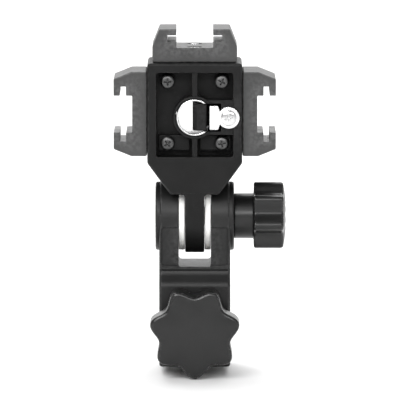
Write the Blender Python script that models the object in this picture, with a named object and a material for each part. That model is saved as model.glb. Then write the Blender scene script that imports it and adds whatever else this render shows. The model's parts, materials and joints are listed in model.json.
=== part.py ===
"""Umbrella swivel bracket: a light-stand socket with a yoke, and a tilting head with three accessory shoes
and a bore for an umbrella shaft. All driving dimensions are in millimetres, and the meshes are in metres.

Frame: origin at the centre of the socket's mouth, +Z up along the stand, -Y towards the front of the bracket
and +X to the side of the tilt knob.
"""

import math

import bmesh
import bpy

MM = 0.001
GAP = 0.3  # clearance between pieces that touch

# Yoke
YOKE_HALF_W = 12.1
YOKE_BACK_Y = 12.0
EAR_R = 12.0
EAR_DISC_R = 11.7
EAR_DISC_X = 13.4
SLOT_HALF_W = 5.5
WEB_TOP_Z = 33.9
TILT_Z = 50.1
SOCKET_R = 8.2
SOCKET_DEPTH = 29.0
SOCKET_FRONT_Y = -15.0
SHOULDER_LOW_Z = 28.4
SHOULDER_HIGH_Z = 31.8
PANEL_TOP_Z = TILT_Z - 2.7
PANEL_LOW_Z = 34.4
PANEL_Y = -11.2
YOKE_EDGE = 1.4

# Stand clamp
STAR_Z = 13.3
STAR_SCREW_R = 3.0
STAR_LOBES = 7
STAR_TIP_R = 15.4
STAR_ROOT_R = 12.4
STAR_REAR_Y = -17.5
STAR_FRONT_Y = -29.5
PAD_FACE_Y = -8.5
PAD_LENGTH = 2.5
INSERT_R = 4.3

# Tilt clamp
BOLT_R = 3.0
BOLT_HEAD_FLATS = 10.0
BOLT_HEAD_X = -13.2
BOLT_HEAD_H = 3.8
BOLT_END_X = 25.5
TILT_WASHER_T = 0.8
TILT_WASHER_R = 6.2
KNOB_LOBES = 7
KNOB_TIP_R = 11.6
KNOB_ROOT_R = 8.8
KNOB_HUB_R = 7.7
KNOB_HUB_X = EAR_DISC_X + GAP
KNOB_SEAT_X = KNOB_HUB_X + TILT_WASHER_T + GAP
KNOB_HEAD_X = 20.1
KNOB_END_X = 31.2

# Head
HEAD_HALF_W = 16.1
HEAD_FRONT_Y = -13.5
HEAD_REAR_Y = 10.0
HEAD_TOP_Z = 103.5
HEAD_SIDE_Z = 69.5
CHEST_KNEE = (13.1, 65.4)
CHEST_FOOT = (8.2, 58.7)
HEAD_EDGE = 0.8
TONGUE_HALF_W = 3.3
TONGUE_R = 12.5
EAR_CLEARANCE_R = 12.6
REAR_UNDERSIDE_Z = TILT_Z + 12.9
COVER_REAR_Y = 13.5
RECESS_HALF_W = 13.0
RECESS_LOW_Z = 71.6
RECESS_HIGH_Z = 100.2
RECESS_FLOOR_Y = -4.5
RECESS_PAD_XZ = ((1.7, 73.4), (12.3, 78.6))
RECESS_PAD_Y = -8.0
CAVITY_FRONT_Y = -1.5
CAVITY_LOW_Z = 66.2

# Umbrella bore and its jaw
BORE_Z = 85.0
BORE_R = 5.6
SLEEVE_R = 6.2
RING_R = 7.3
RING_FRONT_Y = -13.2
JAW_FACE_X = -0.75
JAW_BACK_X = 4.05
JAW_HALF_H = 4.5
JAW_STEP_Y = -0.6
JAW_TAIL_HALF_H = 4.0
JAW_TRAVEL = 4.6
JAW_FRONT_Y = -12.5
JAW_REAR_Y = 9.4
JAW_TAIL_X = 7.6
JAW_TAIL_Y = 0.0
JAW_FLANGE_T = 1.0
JAW_FLANGE_HALF_H = 4.8
GUIDE_HALF_H = 6.2
GUIDE_LIP_X = JAW_TAIL_X - JAW_FLANGE_T - GAP
PLATE_LEFT_X = 5.0
PLATE_HALF_H = 4.1
PLATE_EYE_X = 11.5
PLATE_EYE_R = 3.7
PLATE_SEAT_Y = -12.9
PLATE_T = 0.8
SPRING_WIRE_R = 0.25
SPRING_COIL_R = 1.4
SPRING_TURNS = 5

# Accessory shoes, to the common 18.6 x 2 mm foot
SHOE_BASE_HALF_W = 14.35
SHOE_TIP_HALF_W = 11.95
SHOE_SHOULDER = 5.1
SHOE_HEIGHT = 11.1
SHOE_HALF_D = 11.5
SHOE_FLOOR = 4.8
SHOE_FOOT_LOW = 6.9
SHOE_FOOT_HIGH = 9.0
SHOE_FOOT_HALF_W = 9.35
SHOE_MOUTH_HALF_W = 6.25
SHOE_SCREW_Y = 7.0
SIDE_SHOE_Z = 86.05

# Screws
SCREW_SHANK_R = 1.2
SCREW_HOLE_R = 1.5
COVER_SCREW_XZ = ((-9.2, 97.0), (9.2, 97.0), (-9.2, 76.0), (9.2, 76.0))
COVER_BOSS_R = 2.5
COVER_BOSS_Y = -9.5

ROUND = 40  # sides of a large round
FINE = 24  # sides of a small round

# name: (base colour, roughness, metallic)
FINISHES = {
    "black_plastic": ((0.018, 0.018, 0.019), 0.45, 0.0),
    "grey_plastic": ((0.055, 0.055, 0.057), 0.5, 0.0),
    "knob_plastic": ((0.02, 0.02, 0.021), 0.4, 0.0),
    "nylon": ((0.85, 0.85, 0.83), 0.4, 0.0),
    "bright_steel": ((0.8, 0.8, 0.8), 0.18, 1.0),
    "dark_steel": ((0.3, 0.3, 0.31), 0.35, 1.0),
    "blackened_steel": ((0.1, 0.1, 0.1), 0.4, 1.0),
    "brass": ((0.75, 0.58, 0.3), 0.35, 1.0),
    "jaw_rubber": ((0.012, 0.012, 0.012), 0.7, 0.0),
}


# ---------------------------------------------------------------- building blocks


def clear_scene():
    for obj in list(bpy.data.objects):
        bpy.data.objects.remove(obj, do_unlink=True)


def finish(name):
    """The Principled material of this name, made once."""
    if name in bpy.data.materials:
        return bpy.data.materials[name]
    colour, roughness, metallic = FINISHES[name]
    material = bpy.data.materials.new(name)
    material.use_nodes = True
    shader = material.node_tree.nodes["Principled BSDF"]
    shader.inputs["Base Color"].default_value = (*colour, 1.0)
    shader.inputs["Roughness"].default_value = roughness
    shader.inputs["Metallic"].default_value = metallic
    return material


def along(axis, u, v, w):
    """The point at w along the axis and (u, v) across it, in X, Y, Z order."""
    return {"X": (w, u, v), "Y": (u, w, v), "Z": (u, v, w)}[axis]


def add_loft(bm, rings, hollow=False):
    """A closed skin through rings of equal length, its ends capped or, when hollow, joined to each other."""
    loops = [[bm.verts.new([c * MM for c in point]) for point in ring] for ring in rings]
    pairs = list(zip(loops, loops[1:]))
    if hollow:
        pairs.append((loops[-1], loops[0]))
    faces = []
    for low, high in pairs:
        for i in range(len(low)):
            j = (i + 1) % len(low)
            faces.append(bm.faces.new((low[i], low[j], high[j], high[i])))
    if not hollow:
        faces.append(bm.faces.new(loops[0]))
        faces.append(bm.faces.new(loops[-1]))
    bmesh.ops.recalc_face_normals(bm, faces=faces)


def add_prism(bm, outline, axis, low, high):
    add_loft(bm, [[along(axis, u, v, w) for u, v in outline] for w in (low, high)])


def add_box(bm, low, high):
    outline = [(low[0], low[1]), (high[0], low[1]), (high[0], high[1]), (low[0], high[1])]
    add_prism(bm, outline, "Z", low[2], high[2])


def ring_points(radius, count, centre=(0.0, 0.0)):
    """Points of a closed outline about a centre. The radius is a number, or a function of the angle."""
    points = []
    for i in range(count):
        angle = 2 * math.pi * i / count
        r = radius(angle) if callable(radius) else radius
        points.append((centre[0] + r * math.cos(angle), centre[1] + r * math.sin(angle)))
    return points


def add_turned(bm, profile, axis, centre=(0.0, 0.0), count=FINE, hollow=False):
    """A turned solid from (place along the axis, radius) pairs. A radius may be a function of the angle."""
    rings = []
    for w, radius in profile:
        rings.append([along(axis, u, v, w) for u, v in ring_points(radius, count, centre)])
    add_loft(bm, rings, hollow)


def add_cylinder(bm, axis, centre, radius, low, high, count=FINE):
    add_turned(bm, [(low, radius), (high, radius)], axis, centre, count)


def add_tube(bm, axis, centre, outer, inner, low, high, count=FINE):
    profile = [(low, outer), (high, outer), (high, inner), (low, inner)]
    add_turned(bm, profile, axis, centre, count, hollow=True)


def lobed(tip, root, lobes, phase, inset=0.0):
    """The radius of a lobed knob's outline as a function of the angle, with one tip at the phase angle."""

    def radius(angle):
        wave = math.cos(lobes * (angle - phase))
        return (tip + root) / 2 + (tip - root) / 2 * wave - inset

    return radius


def hexagonal(flats):
    """The radius of a hexagon's outline as a function of the angle."""

    def radius(angle):
        return flats / 2 / math.cos(angle % (math.pi / 3) - math.pi / 6)

    return radius


def make(name, bm, finish_name, origin=(0.0, 0.0, 0.0), parent=None):
    """An object whose mesh was modelled in world millimetres, with its origin moved to the point given."""
    bmesh.ops.translate(bm, verts=bm.verts, vec=[-c * MM for c in origin])
    mesh = bpy.data.meshes.new(name)
    bm.to_mesh(mesh)
    bm.free()
    mesh.shade_smooth()
    mesh.set_sharp_from_angle(angle=math.radians(35))
    return add_object(name, mesh, finish_name, origin, (0.0, 0.0, 0.0), parent)


def add_object(name, mesh, finish_name, origin, rotation, parent):
    obj = bpy.data.objects.new(name, mesh)
    bpy.context.scene.collection.objects.link(obj)
    if not mesh.materials:
        mesh.materials.append(finish(finish_name))
    start = parent.location if parent else (0.0, 0.0, 0.0)
    obj.parent = parent
    obj.location = [c * MM - s for c, s in zip(origin, start)]
    obj.rotation_euler = rotation
    return obj


def axis_empty(name, origin):
    empty = bpy.data.objects.new(name, None)
    bpy.context.scene.collection.objects.link(empty)
    empty.location = [c * MM for c in origin]
    empty.empty_display_size = 10 * MM
    return empty


def helper(name, bm):
    """A cutter, or a shape to be joined on, which isn't a piece itself."""
    mesh = bpy.data.meshes.new(name)
    bm.to_mesh(mesh)
    bm.free()
    obj = bpy.data.objects.new(name, mesh)
    bpy.context.scene.collection.objects.link(obj)
    obj.hide_render = True
    obj.display_type = "WIRE"
    return obj


def combine(target, operation, name, bm):
    """Cuts the shape in bm from the target, or joins it on."""
    modifier = target.modifiers.new(name, "BOOLEAN")
    modifier.operation = operation
    modifier.solver = "EXACT"
    modifier.object = helper(f"{target.name}_{name}", bm)


def cut(target, name, bm):
    combine(target, "DIFFERENCE", name, bm)


def join(target, name, bm):
    combine(target, "UNION", name, bm)


def round_edges(target, width, segments):
    modifier = target.modifiers.new("edges", "BEVEL")
    modifier.width = width * MM
    modifier.segments = segments
    modifier.limit_method = "ANGLE"
    modifier.angle_limit = math.radians(40)


# ---------------------------------------------------------------- yoke


def yoke_profile():
    """The yoke's outline from the side, as (Y, Z): socket block, shoulder and the ears' round top."""
    steps = 22
    arc = []
    for i in range(steps + 1):
        angle = math.pi * i / steps
        arc.append((EAR_R * math.cos(angle), TILT_Z + EAR_R * math.sin(angle)))
    front = [(-EAR_R, SHOULDER_HIGH_Z), (SOCKET_FRONT_Y, SHOULDER_LOW_Z), (SOCKET_FRONT_Y, 0.0)]
    return [(YOKE_BACK_Y, 0.0)] + arc + front


def build_yoke_body():
    bm = bmesh.new()
    add_prism(bm, yoke_profile(), "X", -YOKE_HALF_W, YOKE_HALF_W)
    yoke = make("yoke_body", bm, "black_plastic")
    round_edges(yoke, YOKE_EDGE, 2)

    for side in (-1, 1):
        bm = bmesh.new()
        ends = sorted((side * (YOKE_HALF_W - 2.0), side * EAR_DISC_X))
        add_cylinder(bm, "X", (0.0, TILT_Z), EAR_DISC_R, *ends, ROUND)
        join(yoke, "disc_right" if side > 0 else "disc_left", bm)

    bm = bmesh.new()
    add_box(bm, (-SLOT_HALF_W, -20.0, WEB_TOP_Z), (SLOT_HALF_W, 20.0, TILT_Z + 20.0))
    cut(yoke, "slot", bm)

    bm = bmesh.new()
    panel = YOKE_HALF_W - YOKE_EDGE
    add_box(bm, (-panel, -20.0, PANEL_LOW_Z), (panel, PANEL_Y, PANEL_TOP_Z))
    add_box(bm, (-panel, -20.0, SHOULDER_HIGH_Z + 0.7), (panel, PANEL_Y + 0.2, PANEL_LOW_Z - 1.1))
    cut(yoke, "front_panel", bm)

    bm = bmesh.new()
    mouth = [(-1.0, SOCKET_R + 1.2), (0.8, SOCKET_R), (SOCKET_DEPTH, SOCKET_R)]
    add_turned(bm, mouth, "Z", count=ROUND)
    cut(yoke, "socket", bm)

    bm = bmesh.new()
    insert_end = -SOCKET_R - 1.2
    hole = [(SOCKET_FRONT_Y - 1.0, INSERT_R + GAP), (insert_end, INSERT_R + GAP)]
    hole += [(insert_end, STAR_SCREW_R + GAP), (-5.0, STAR_SCREW_R + GAP)]
    add_turned(bm, hole, "Y", (0.0, STAR_Z))
    cut(yoke, "star_screw_hole", bm)

    bm = bmesh.new()
    pocket = hexagonal(BOLT_HEAD_FLATS + 2 * GAP)
    pocket_floor = BOLT_HEAD_X + BOLT_HEAD_H + GAP
    hole = [(-EAR_DISC_X - 1.0, pocket), (pocket_floor, pocket)]
    hole += [(pocket_floor, BOLT_R + GAP), (EAR_DISC_X + 1.0, BOLT_R + GAP)]
    add_turned(bm, hole, "X", (0.0, TILT_Z))
    cut(yoke, "bolt_hole", bm)


def build_hinge():
    axis_point = (0.0, 0.0, TILT_Z)
    bm = bmesh.new()
    head = hexagonal(BOLT_HEAD_FLATS)
    head_end = BOLT_HEAD_X + BOLT_HEAD_H
    bolt = [(BOLT_HEAD_X, head), (head_end, head), (head_end, BOLT_R)]
    bolt += [(BOLT_END_X - 0.6, BOLT_R), (BOLT_END_X, BOLT_R - 0.6)]
    add_turned(bm, bolt, "X", (0.0, TILT_Z))
    make("hinge_bolt", bm, "dark_steel", axis_point)

    for name, side in (("friction_washer_left", -1), ("friction_washer_right", 1)):
        bm = bmesh.new()
        ends = sorted((side * (TONGUE_HALF_W + GAP), side * (SLOT_HALF_W - GAP)))
        add_tube(bm, "X", (0.0, TILT_Z), 11.6, BOLT_R + GAP, *ends, ROUND)
        make(name, bm, "nylon", axis_point)


# ---------------------------------------------------------------- clamps


def build_stand_clamp():
    centre = (0.0, STAR_Z)
    bm = bmesh.new()
    add_tube(bm, "Y", centre, INSERT_R, STAR_SCREW_R + GAP, SOCKET_FRONT_Y + 0.2, -SOCKET_R - 1.2 - GAP)
    make("clamp_thread_insert", bm, "brass", (0.0, SOCKET_FRONT_Y, STAR_Z))

    pad_rear = PAD_FACE_Y - PAD_LENGTH
    bm = bmesh.new()
    add_turned(bm, [(pad_rear, 2.9), (PAD_FACE_Y - 0.4, 2.9), (PAD_FACE_Y, 2.5)], "Y", centre)
    pad = make("pressure_pad", bm, "brass", (0.0, PAD_FACE_Y, STAR_Z))

    # The knob and its screw ride on the pad, because the three move along the thread together.
    axis = axis_empty("star_knob_axis", (0.0, STAR_REAR_Y, STAR_Z))
    axis.parent = pad
    axis.location = (0.0, (STAR_REAR_Y - PAD_FACE_Y) * MM, 0.0)
    screw_front = pad_rear - GAP
    screw_rear = STAR_FRONT_Y + 4.0
    bm = bmesh.new()
    screw = [(screw_rear, STAR_SCREW_R), (screw_front - 0.6, STAR_SCREW_R)]
    screw += [(screw_front, STAR_SCREW_R - 0.6)]
    add_turned(bm, screw, "Y", centre)
    in_pad_frame(make("star_screw", bm, "bright_steel", (0.0, STAR_REAR_Y, STAR_Z)), axis)

    down = -math.pi / 2
    bm = bmesh.new()
    profile = [
        (STAR_REAR_Y + 1.0, 6.5),
        (STAR_REAR_Y, 6.8),
        (STAR_REAR_Y, lobed(STAR_TIP_R, STAR_ROOT_R, STAR_LOBES, down, 0.9)),
        (STAR_REAR_Y - 0.9, lobed(STAR_TIP_R, STAR_ROOT_R, STAR_LOBES, down)),
        (STAR_FRONT_Y + 1.6, lobed(STAR_TIP_R, STAR_ROOT_R, STAR_LOBES, down)),
        (STAR_FRONT_Y + 0.7, lobed(STAR_TIP_R, STAR_ROOT_R, STAR_LOBES, down, 0.9)),
        (STAR_FRONT_Y + 0.2, lobed(9.0, 8.2, STAR_LOBES, down)),
        (STAR_FRONT_Y, 4.0),
    ]
    add_turned(bm, profile, "Y", centre, STAR_LOBES * 8)
    knob = make("star_knob", bm, "knob_plastic", (0.0, STAR_REAR_Y, STAR_Z))
    in_pad_frame(knob, axis)
    bm = bmesh.new()
    add_cylinder(bm, "Y", centre, STAR_SCREW_R + GAP, screw_rear - GAP, STAR_REAR_Y + 3.0)
    cut(knob, "screw_hole", bm)


def in_pad_frame(obj, axis):
    """Hangs a piece whose origin is already on the star knob's axis from that axis."""
    obj.parent = axis
    obj.location = (0.0, 0.0, 0.0)


def build_tilt_clamp():
    centre = (0.0, TILT_Z)
    bm = bmesh.new()
    start = EAR_DISC_X + GAP
    add_tube(bm, "X", centre, TILT_WASHER_R, BOLT_R + GAP, start, start + TILT_WASHER_T)
    make("tilt_washer", bm, "bright_steel", (0.0, 0.0, TILT_Z))

    insert_r = 4.5
    insert_end = 24.0
    bm = bmesh.new()
    add_tube(bm, "X", centre, insert_r, BOLT_R + GAP, KNOB_SEAT_X + 0.2, insert_end)
    make("tilt_knob_insert", bm, "brass", (0.0, 0.0, TILT_Z))

    up = math.pi / 2
    bm = bmesh.new()
    profile = [
        (KNOB_HUB_X, KNOB_HUB_R - 0.4),
        (KNOB_HUB_X + 0.4, KNOB_HUB_R),
        (KNOB_HEAD_X, KNOB_HUB_R),
        (KNOB_HEAD_X, lobed(KNOB_TIP_R, KNOB_ROOT_R, KNOB_LOBES, up, 0.6)),
        (KNOB_HEAD_X + 0.6, lobed(KNOB_TIP_R, KNOB_ROOT_R, KNOB_LOBES, up)),
        (KNOB_END_X - 1.8, lobed(KNOB_TIP_R, KNOB_ROOT_R, KNOB_LOBES, up)),
        (KNOB_END_X - 0.8, lobed(KNOB_TIP_R, KNOB_ROOT_R, KNOB_LOBES, up, 0.9)),
        (KNOB_END_X, 4.5),
    ]
    add_turned(bm, profile, "X", centre, KNOB_LOBES * 8)
    knob = make("tilt_knob", bm, "knob_plastic", (0.0, 0.0, TILT_Z))
    bm = bmesh.new()
    hole = [(KNOB_HUB_X - 1.0, TILT_WASHER_R + GAP), (KNOB_SEAT_X, TILT_WASHER_R + GAP)]
    hole += [(KNOB_SEAT_X, insert_r + GAP), (BOLT_END_X + 0.8, insert_r + GAP)]
    add_turned(bm, hole, "X", centre)
    cut(knob, "insert_hole", bm)


# ---------------------------------------------------------------- head


def head_outline(low_z):
    """The head's outline from the front, as (X, Z), its lower corners cut back, down to the given height."""
    knee_x, knee_z = CHEST_KNEE
    foot_x, foot_z = CHEST_FOOT
    low_x = foot_x + (low_z - foot_z) * (knee_x - foot_x) / (knee_z - foot_z)
    right = [(HEAD_HALF_W, HEAD_TOP_Z), (HEAD_HALF_W, HEAD_SIDE_Z), (knee_x, knee_z), (low_x, low_z)]
    return right + [(-x, z) for x, z in reversed(right)]


def tongue_outline():
    """The tongue from the side, as (Y, Z): a round end about the tilt axis, and a root inside the head."""
    steps = 24
    rear_y = HEAD_REAR_Y - 0.5
    root_z = TILT_Z + 14.5
    points = [(TONGUE_R, REAR_UNDERSIDE_Z - 4.0), (rear_y, REAR_UNDERSIDE_Z - GAP), (rear_y, root_z)]
    points += [(HEAD_FRONT_Y + 0.3, root_z), (HEAD_FRONT_Y + 0.12, CHEST_FOOT[1] + 0.9)]
    first = math.radians(190)  # below this angle the round end takes over from the straight front
    for i in range(steps + 1):
        angle = first + (2 * math.pi - first) * i / steps
        points.append((TONGUE_R * math.cos(angle), TILT_Z + TONGUE_R * math.sin(angle)))
    return points


def build_head_body(tilt):
    bm = bmesh.new()
    add_prism(bm, head_outline(CHEST_FOOT[1]), "Y", HEAD_FRONT_Y, HEAD_REAR_Y)
    head = make("head_body", bm, "black_plastic", (0.0, 0.0, TILT_Z), tilt)
    round_edges(head, HEAD_EDGE, 1)

    bm = bmesh.new()
    add_cylinder(bm, "X", (0.0, TILT_Z), EAR_CLEARANCE_R, -20.0, 20.0, 48)
    cut(head, "ear_clearance", bm)
    bm = bmesh.new()
    add_box(bm, (-20.0, -1.0, TILT_Z - 5.0), (20.0, 20.0, REAR_UNDERSIDE_Z))
    cut(head, "rear_underside", bm)
    bm = bmesh.new()
    add_prism(bm, tongue_outline(), "X", -TONGUE_HALF_W, TONGUE_HALF_W)
    join(head, "tongue", bm)

    bm = bmesh.new()
    add_box(bm, (-RECESS_HALF_W, -20.0, RECESS_LOW_Z), (RECESS_HALF_W, RECESS_FLOOR_Y, RECESS_HIGH_Z))
    cut(head, "front_recess", bm)
    bm = bmesh.new()
    add_box(bm, (-RECESS_HALF_W, CAVITY_FRONT_Y, CAVITY_LOW_Z), (RECESS_HALF_W, 20.0, RECESS_HIGH_Z))
    cut(head, "rear_cavity", bm)

    for name, bm in recess_islands():
        join(head, name, bm)
    bm = bmesh.new()
    low = (1.0, CAVITY_FRONT_Y - 1.0, BORE_Z - GUIDE_HALF_H)
    add_box(bm, low, (RECESS_HALF_W + 0.6, HEAD_REAR_Y - 0.4, BORE_Z + GUIDE_HALF_H))
    join(head, "jaw_guide", bm)
    cut_head_openings(head)
    cut_jaw_channel(head)


def recess_islands():
    """What stands up from the floor of the front recess: bore ring, jaw housing, screw bosses and ribs."""
    root = RECESS_FLOOR_Y + 0.6
    side_root = RECESS_HALF_W + 0.6
    islands = []

    bm = bmesh.new()
    add_cylinder(bm, "Y", (0.0, BORE_Z), RING_R, RING_FRONT_Y, root, ROUND)
    islands.append(("bore_ring", bm))
    bm = bmesh.new()
    wall = JAW_HALF_H + GAP + 1.1
    add_box(bm, (1.0, -12.7, BORE_Z - wall), (side_root, root, BORE_Z + wall))
    islands.append(("jaw_housing", bm))
    bm = bmesh.new()
    add_cylinder(bm, "Y", (PLATE_EYE_X, BORE_Z), PLATE_EYE_R + 0.3, RING_FRONT_Y + 0.05, root + 0.1)
    islands.append(("retainer_boss", bm))
    (near_x, low_z), (far_x, high_z) = RECESS_PAD_XZ
    bm = bmesh.new()
    add_box(bm, (near_x, RECESS_PAD_Y, low_z), (far_x, root - 0.1, high_z))
    add_box(bm, (-far_x, RECESS_PAD_Y, low_z), (-near_x, root - 0.1, high_z))
    islands.append(("pads", bm))
    bm = bmesh.new()
    for x, z in COVER_SCREW_XZ:
        add_cylinder(bm, "Y", (x, z), COVER_BOSS_R, COVER_BOSS_Y, root)
    islands.append(("screw_bosses", bm))

    rib = 0.9
    rib_front = RING_FRONT_Y + 0.3
    bm = bmesh.new()
    add_box(bm, (-rib, rib_front, BORE_Z + RING_R - 1.5), (rib, root, RECESS_HIGH_Z + 0.6))
    add_box(bm, (-rib, rib_front, RECESS_LOW_Z - 0.6), (rib, root, BORE_Z - RING_R + 1.5))
    for z in (BORE_Z - 0.7, BORE_Z + 5.0):
        add_box(bm, (-side_root, -10.0, z - 0.6), (-RING_R + 2.2, root, z + 0.6))
    islands.append(("ribs", bm))
    return islands


def cut_head_openings(head):
    bm = bmesh.new()
    add_cylinder(bm, "Y", (0.0, BORE_Z), SLEEVE_R + GAP, -20.0, 20.0, ROUND)
    cut(head, "umbrella_bore", bm)
    bm = bmesh.new()
    add_prism(bm, plate_outline(GAP), "Y", -20.0, PLATE_SEAT_Y)
    cut(head, "retainer_seat", bm)
    bm = bmesh.new()
    add_cylinder(bm, "Y", (PLATE_EYE_X, BORE_Z), SCREW_HOLE_R, -20.0, -6.5)
    for x, z in COVER_SCREW_XZ:
        add_cylinder(bm, "Y", (x, z), SCREW_HOLE_R, -20.0, 0.0)
    for y in (-SHOE_SCREW_Y, SHOE_SCREW_Y):
        add_cylinder(bm, "X", (y, SIDE_SHOE_Z), SCREW_HOLE_R, 13.6, 20.0)
        add_cylinder(bm, "X", (y, SIDE_SHOE_Z), SCREW_HOLE_R, -20.0, -13.6)
        add_cylinder(bm, "Z", (0.0, y), SCREW_HOLE_R, 101.0, 110.0)
    cut(head, "screw_holes", bm)
    bm = bmesh.new()
    add_cylinder(bm, "X", (0.0, TILT_Z), BOLT_R + GAP, -10.0, 10.0)
    cut(head, "bolt_hole", bm)


def cut_jaw_channel(head):
    """The jaw's way through the bore ring and the middle wall, and its tail's guide behind that wall."""
    side = JAW_HALF_H + GAP
    tail_side = JAW_TAIL_HALF_H + GAP
    flange_side = JAW_FLANGE_HALF_H + GAP
    step_y = JAW_TAIL_Y - GAP
    bm = bmesh.new()
    end_x = JAW_BACK_X + JAW_TRAVEL + GAP
    add_box(bm, (1.5, -20.0, BORE_Z - side), (end_x, step_y, BORE_Z + side))
    cut(head, "jaw_channel", bm)
    bm = bmesh.new()
    add_box(bm, (1.5, step_y - 0.1, BORE_Z - tail_side), (GUIDE_LIP_X + 0.1, 20.0, BORE_Z + tail_side))
    cut(head, "tail_mouth", bm)
    bm = bmesh.new()
    add_box(bm, (GUIDE_LIP_X, step_y, BORE_Z - flange_side), (RECESS_HALF_W, 20.0, BORE_Z + flange_side))
    cut(head, "tail_guide", bm)


def build_rear_cover(tilt):
    bm = bmesh.new()
    add_prism(bm, head_outline(REAR_UNDERSIDE_Z), "Y", HEAD_REAR_Y + GAP, COVER_REAR_Y)
    cover = make("rear_cover", bm, "black_plastic", (0.0, 0.0, TILT_Z), tilt)
    round_edges(cover, HEAD_EDGE, 1)
    bm = bmesh.new()
    for x, z in COVER_SCREW_XZ:
        add_cylinder(bm, "Y", (x, z), COVER_BOSS_R, CAVITY_FRONT_Y + GAP, HEAD_REAR_Y + 1.0)
    join(cover, "screw_bosses", bm)
    bm = bmesh.new()
    add_cylinder(bm, "Y", (0.0, BORE_Z), SLEEVE_R + GAP, 0.0, 20.0, ROUND)
    for x, z in COVER_SCREW_XZ:
        add_cylinder(bm, "Y", (x, z), SCREW_HOLE_R, -5.0, 9.0)
    cut(cover, "holes", bm)


# ---------------------------------------------------------------- umbrella bore and jaw


def plate_outline(margin=0.0):
    """The retainer plate from the front, as (X, Z): a straight tab with a round eye at its right end."""
    half = PLATE_HALF_H + margin
    eye = PLATE_EYE_R + margin
    waist = 2.2 + margin
    neck_x = PLATE_EYE_X - math.sqrt(eye**2 - waist**2)
    low = [(PLATE_LEFT_X - margin, -half), (neck_x - 0.6 + margin, -half), (neck_x, -waist)]
    start = math.atan2(-waist, neck_x - PLATE_EYE_X)
    steps = 18
    arc = []
    for i in range(1, steps):
        angle = start + (2 * abs(start)) * i / steps
        arc.append((PLATE_EYE_X + eye * math.cos(angle), eye * math.sin(angle)))
    high = [(x, -z) for x, z in reversed(low)]
    return [(x, BORE_Z + z) for x, z in low + arc + high]


def build_bore_parts(tilt):
    bm = bmesh.new()
    add_tube(bm, "Y", (0.0, BORE_Z), SLEEVE_R, BORE_R, RING_FRONT_Y + 0.1, COVER_REAR_Y - 0.2, ROUND)
    sleeve = make("bore_sleeve", bm, "bright_steel", (0.0, 0.0, BORE_Z), tilt)
    bm = bmesh.new()
    window = JAW_HALF_H + GAP
    add_box(bm, (0.0, -20.0, BORE_Z - window), (10.0, JAW_REAR_Y + 0.4, BORE_Z + window))
    cut(sleeve, "jaw_window", bm)

    bm = bmesh.new()
    add_prism(bm, plate_outline(), "Y", PLATE_SEAT_Y - GAP - PLATE_T, PLATE_SEAT_Y - GAP)
    plate = make("retainer_plate", bm, "bright_steel", (PLATE_EYE_X, PLATE_SEAT_Y, BORE_Z), tilt)
    bm = bmesh.new()
    add_cylinder(bm, "Y", (PLATE_EYE_X, BORE_Z), SCREW_HOLE_R, -20.0, 0.0)
    cut(plate, "screw_hole", bm)


def build_jaw(tilt):
    """The jaw runs along the bore, taller in front. A flange on its tail stops it at rest."""
    tail_middle = (JAW_TAIL_Y + JAW_REAR_Y) / 2
    pocket_floor = JAW_BACK_X + 0.5
    pocket_r = SPRING_COIL_R + SPRING_WIRE_R + GAP

    lead = 1.5  # the face slopes away at both ends, so that a shaft pushes the jaw aside
    face, back = JAW_FACE_X, JAW_BACK_X
    outline = [(face, JAW_FRONT_Y + lead), (face + lead, JAW_FRONT_Y), (back, JAW_FRONT_Y)]
    outline += [(back, JAW_TAIL_Y), (JAW_TAIL_X, JAW_TAIL_Y), (JAW_TAIL_X, JAW_REAR_Y)]
    outline += [(face + lead, JAW_REAR_Y), (face, JAW_REAR_Y - lead)]
    bm = bmesh.new()
    add_prism(bm, outline, "Z", BORE_Z - JAW_TAIL_HALF_H, BORE_Z + JAW_TAIL_HALF_H)
    jaw = make("clamp_jaw", bm, "jaw_rubber", (JAW_FACE_X, 0.0, BORE_Z), tilt)
    inner = 0.05
    block = [(face + inner, JAW_FRONT_Y + lead), (face + lead, JAW_FRONT_Y + inner)]
    block += [(back - inner, JAW_FRONT_Y + inner), (back - inner, JAW_STEP_Y), (face + inner, JAW_STEP_Y)]
    bm = bmesh.new()
    add_prism(bm, block, "Z", BORE_Z - JAW_HALF_H, BORE_Z + JAW_HALF_H)
    join(jaw, "front_block", bm)
    bm = bmesh.new()
    low = (JAW_TAIL_X - JAW_FLANGE_T, JAW_TAIL_Y + 0.05, BORE_Z - JAW_FLANGE_HALF_H)
    add_box(bm, low, (JAW_TAIL_X - 0.05, JAW_REAR_Y - 0.05, BORE_Z + JAW_FLANGE_HALF_H))
    join(jaw, "flange", bm)
    bm = bmesh.new()
    add_cylinder(bm, "X", (tail_middle, BORE_Z), pocket_r, pocket_floor, 20.0)
    cut(jaw, "spring_pocket", bm)

    low = pocket_floor + GAP + SPRING_WIRE_R
    high = RECESS_HALF_W - GAP - SPRING_WIRE_R
    bm = bmesh.new()
    add_loft(bm, spring_rings(low, high, tail_middle))
    make("jaw_spring", bm, "dark_steel", (high, tail_middle, BORE_Z), tilt)


def spring_rings(low, high, y):
    """Sections of a coiled wire about the X axis at Y = y, between two places along X."""
    steps = SPRING_TURNS * 12
    sides = 5
    rings = []
    for i in range(steps + 1):
        angle = 2 * math.pi * SPRING_TURNS * i / steps
        x = low + (high - low) * i / steps
        ring = []
        for side in range(sides):
            turn = 2 * math.pi * side / sides
            r = SPRING_COIL_R + SPRING_WIRE_R * math.cos(turn)
            along = x + SPRING_WIRE_R * math.sin(turn)
            place = (along, y + r * math.cos(angle), BORE_Z + r * math.sin(angle))
            ring.append(place)
        rings.append(ring)
    return rings


# ---------------------------------------------------------------- shoes and screws


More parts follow.
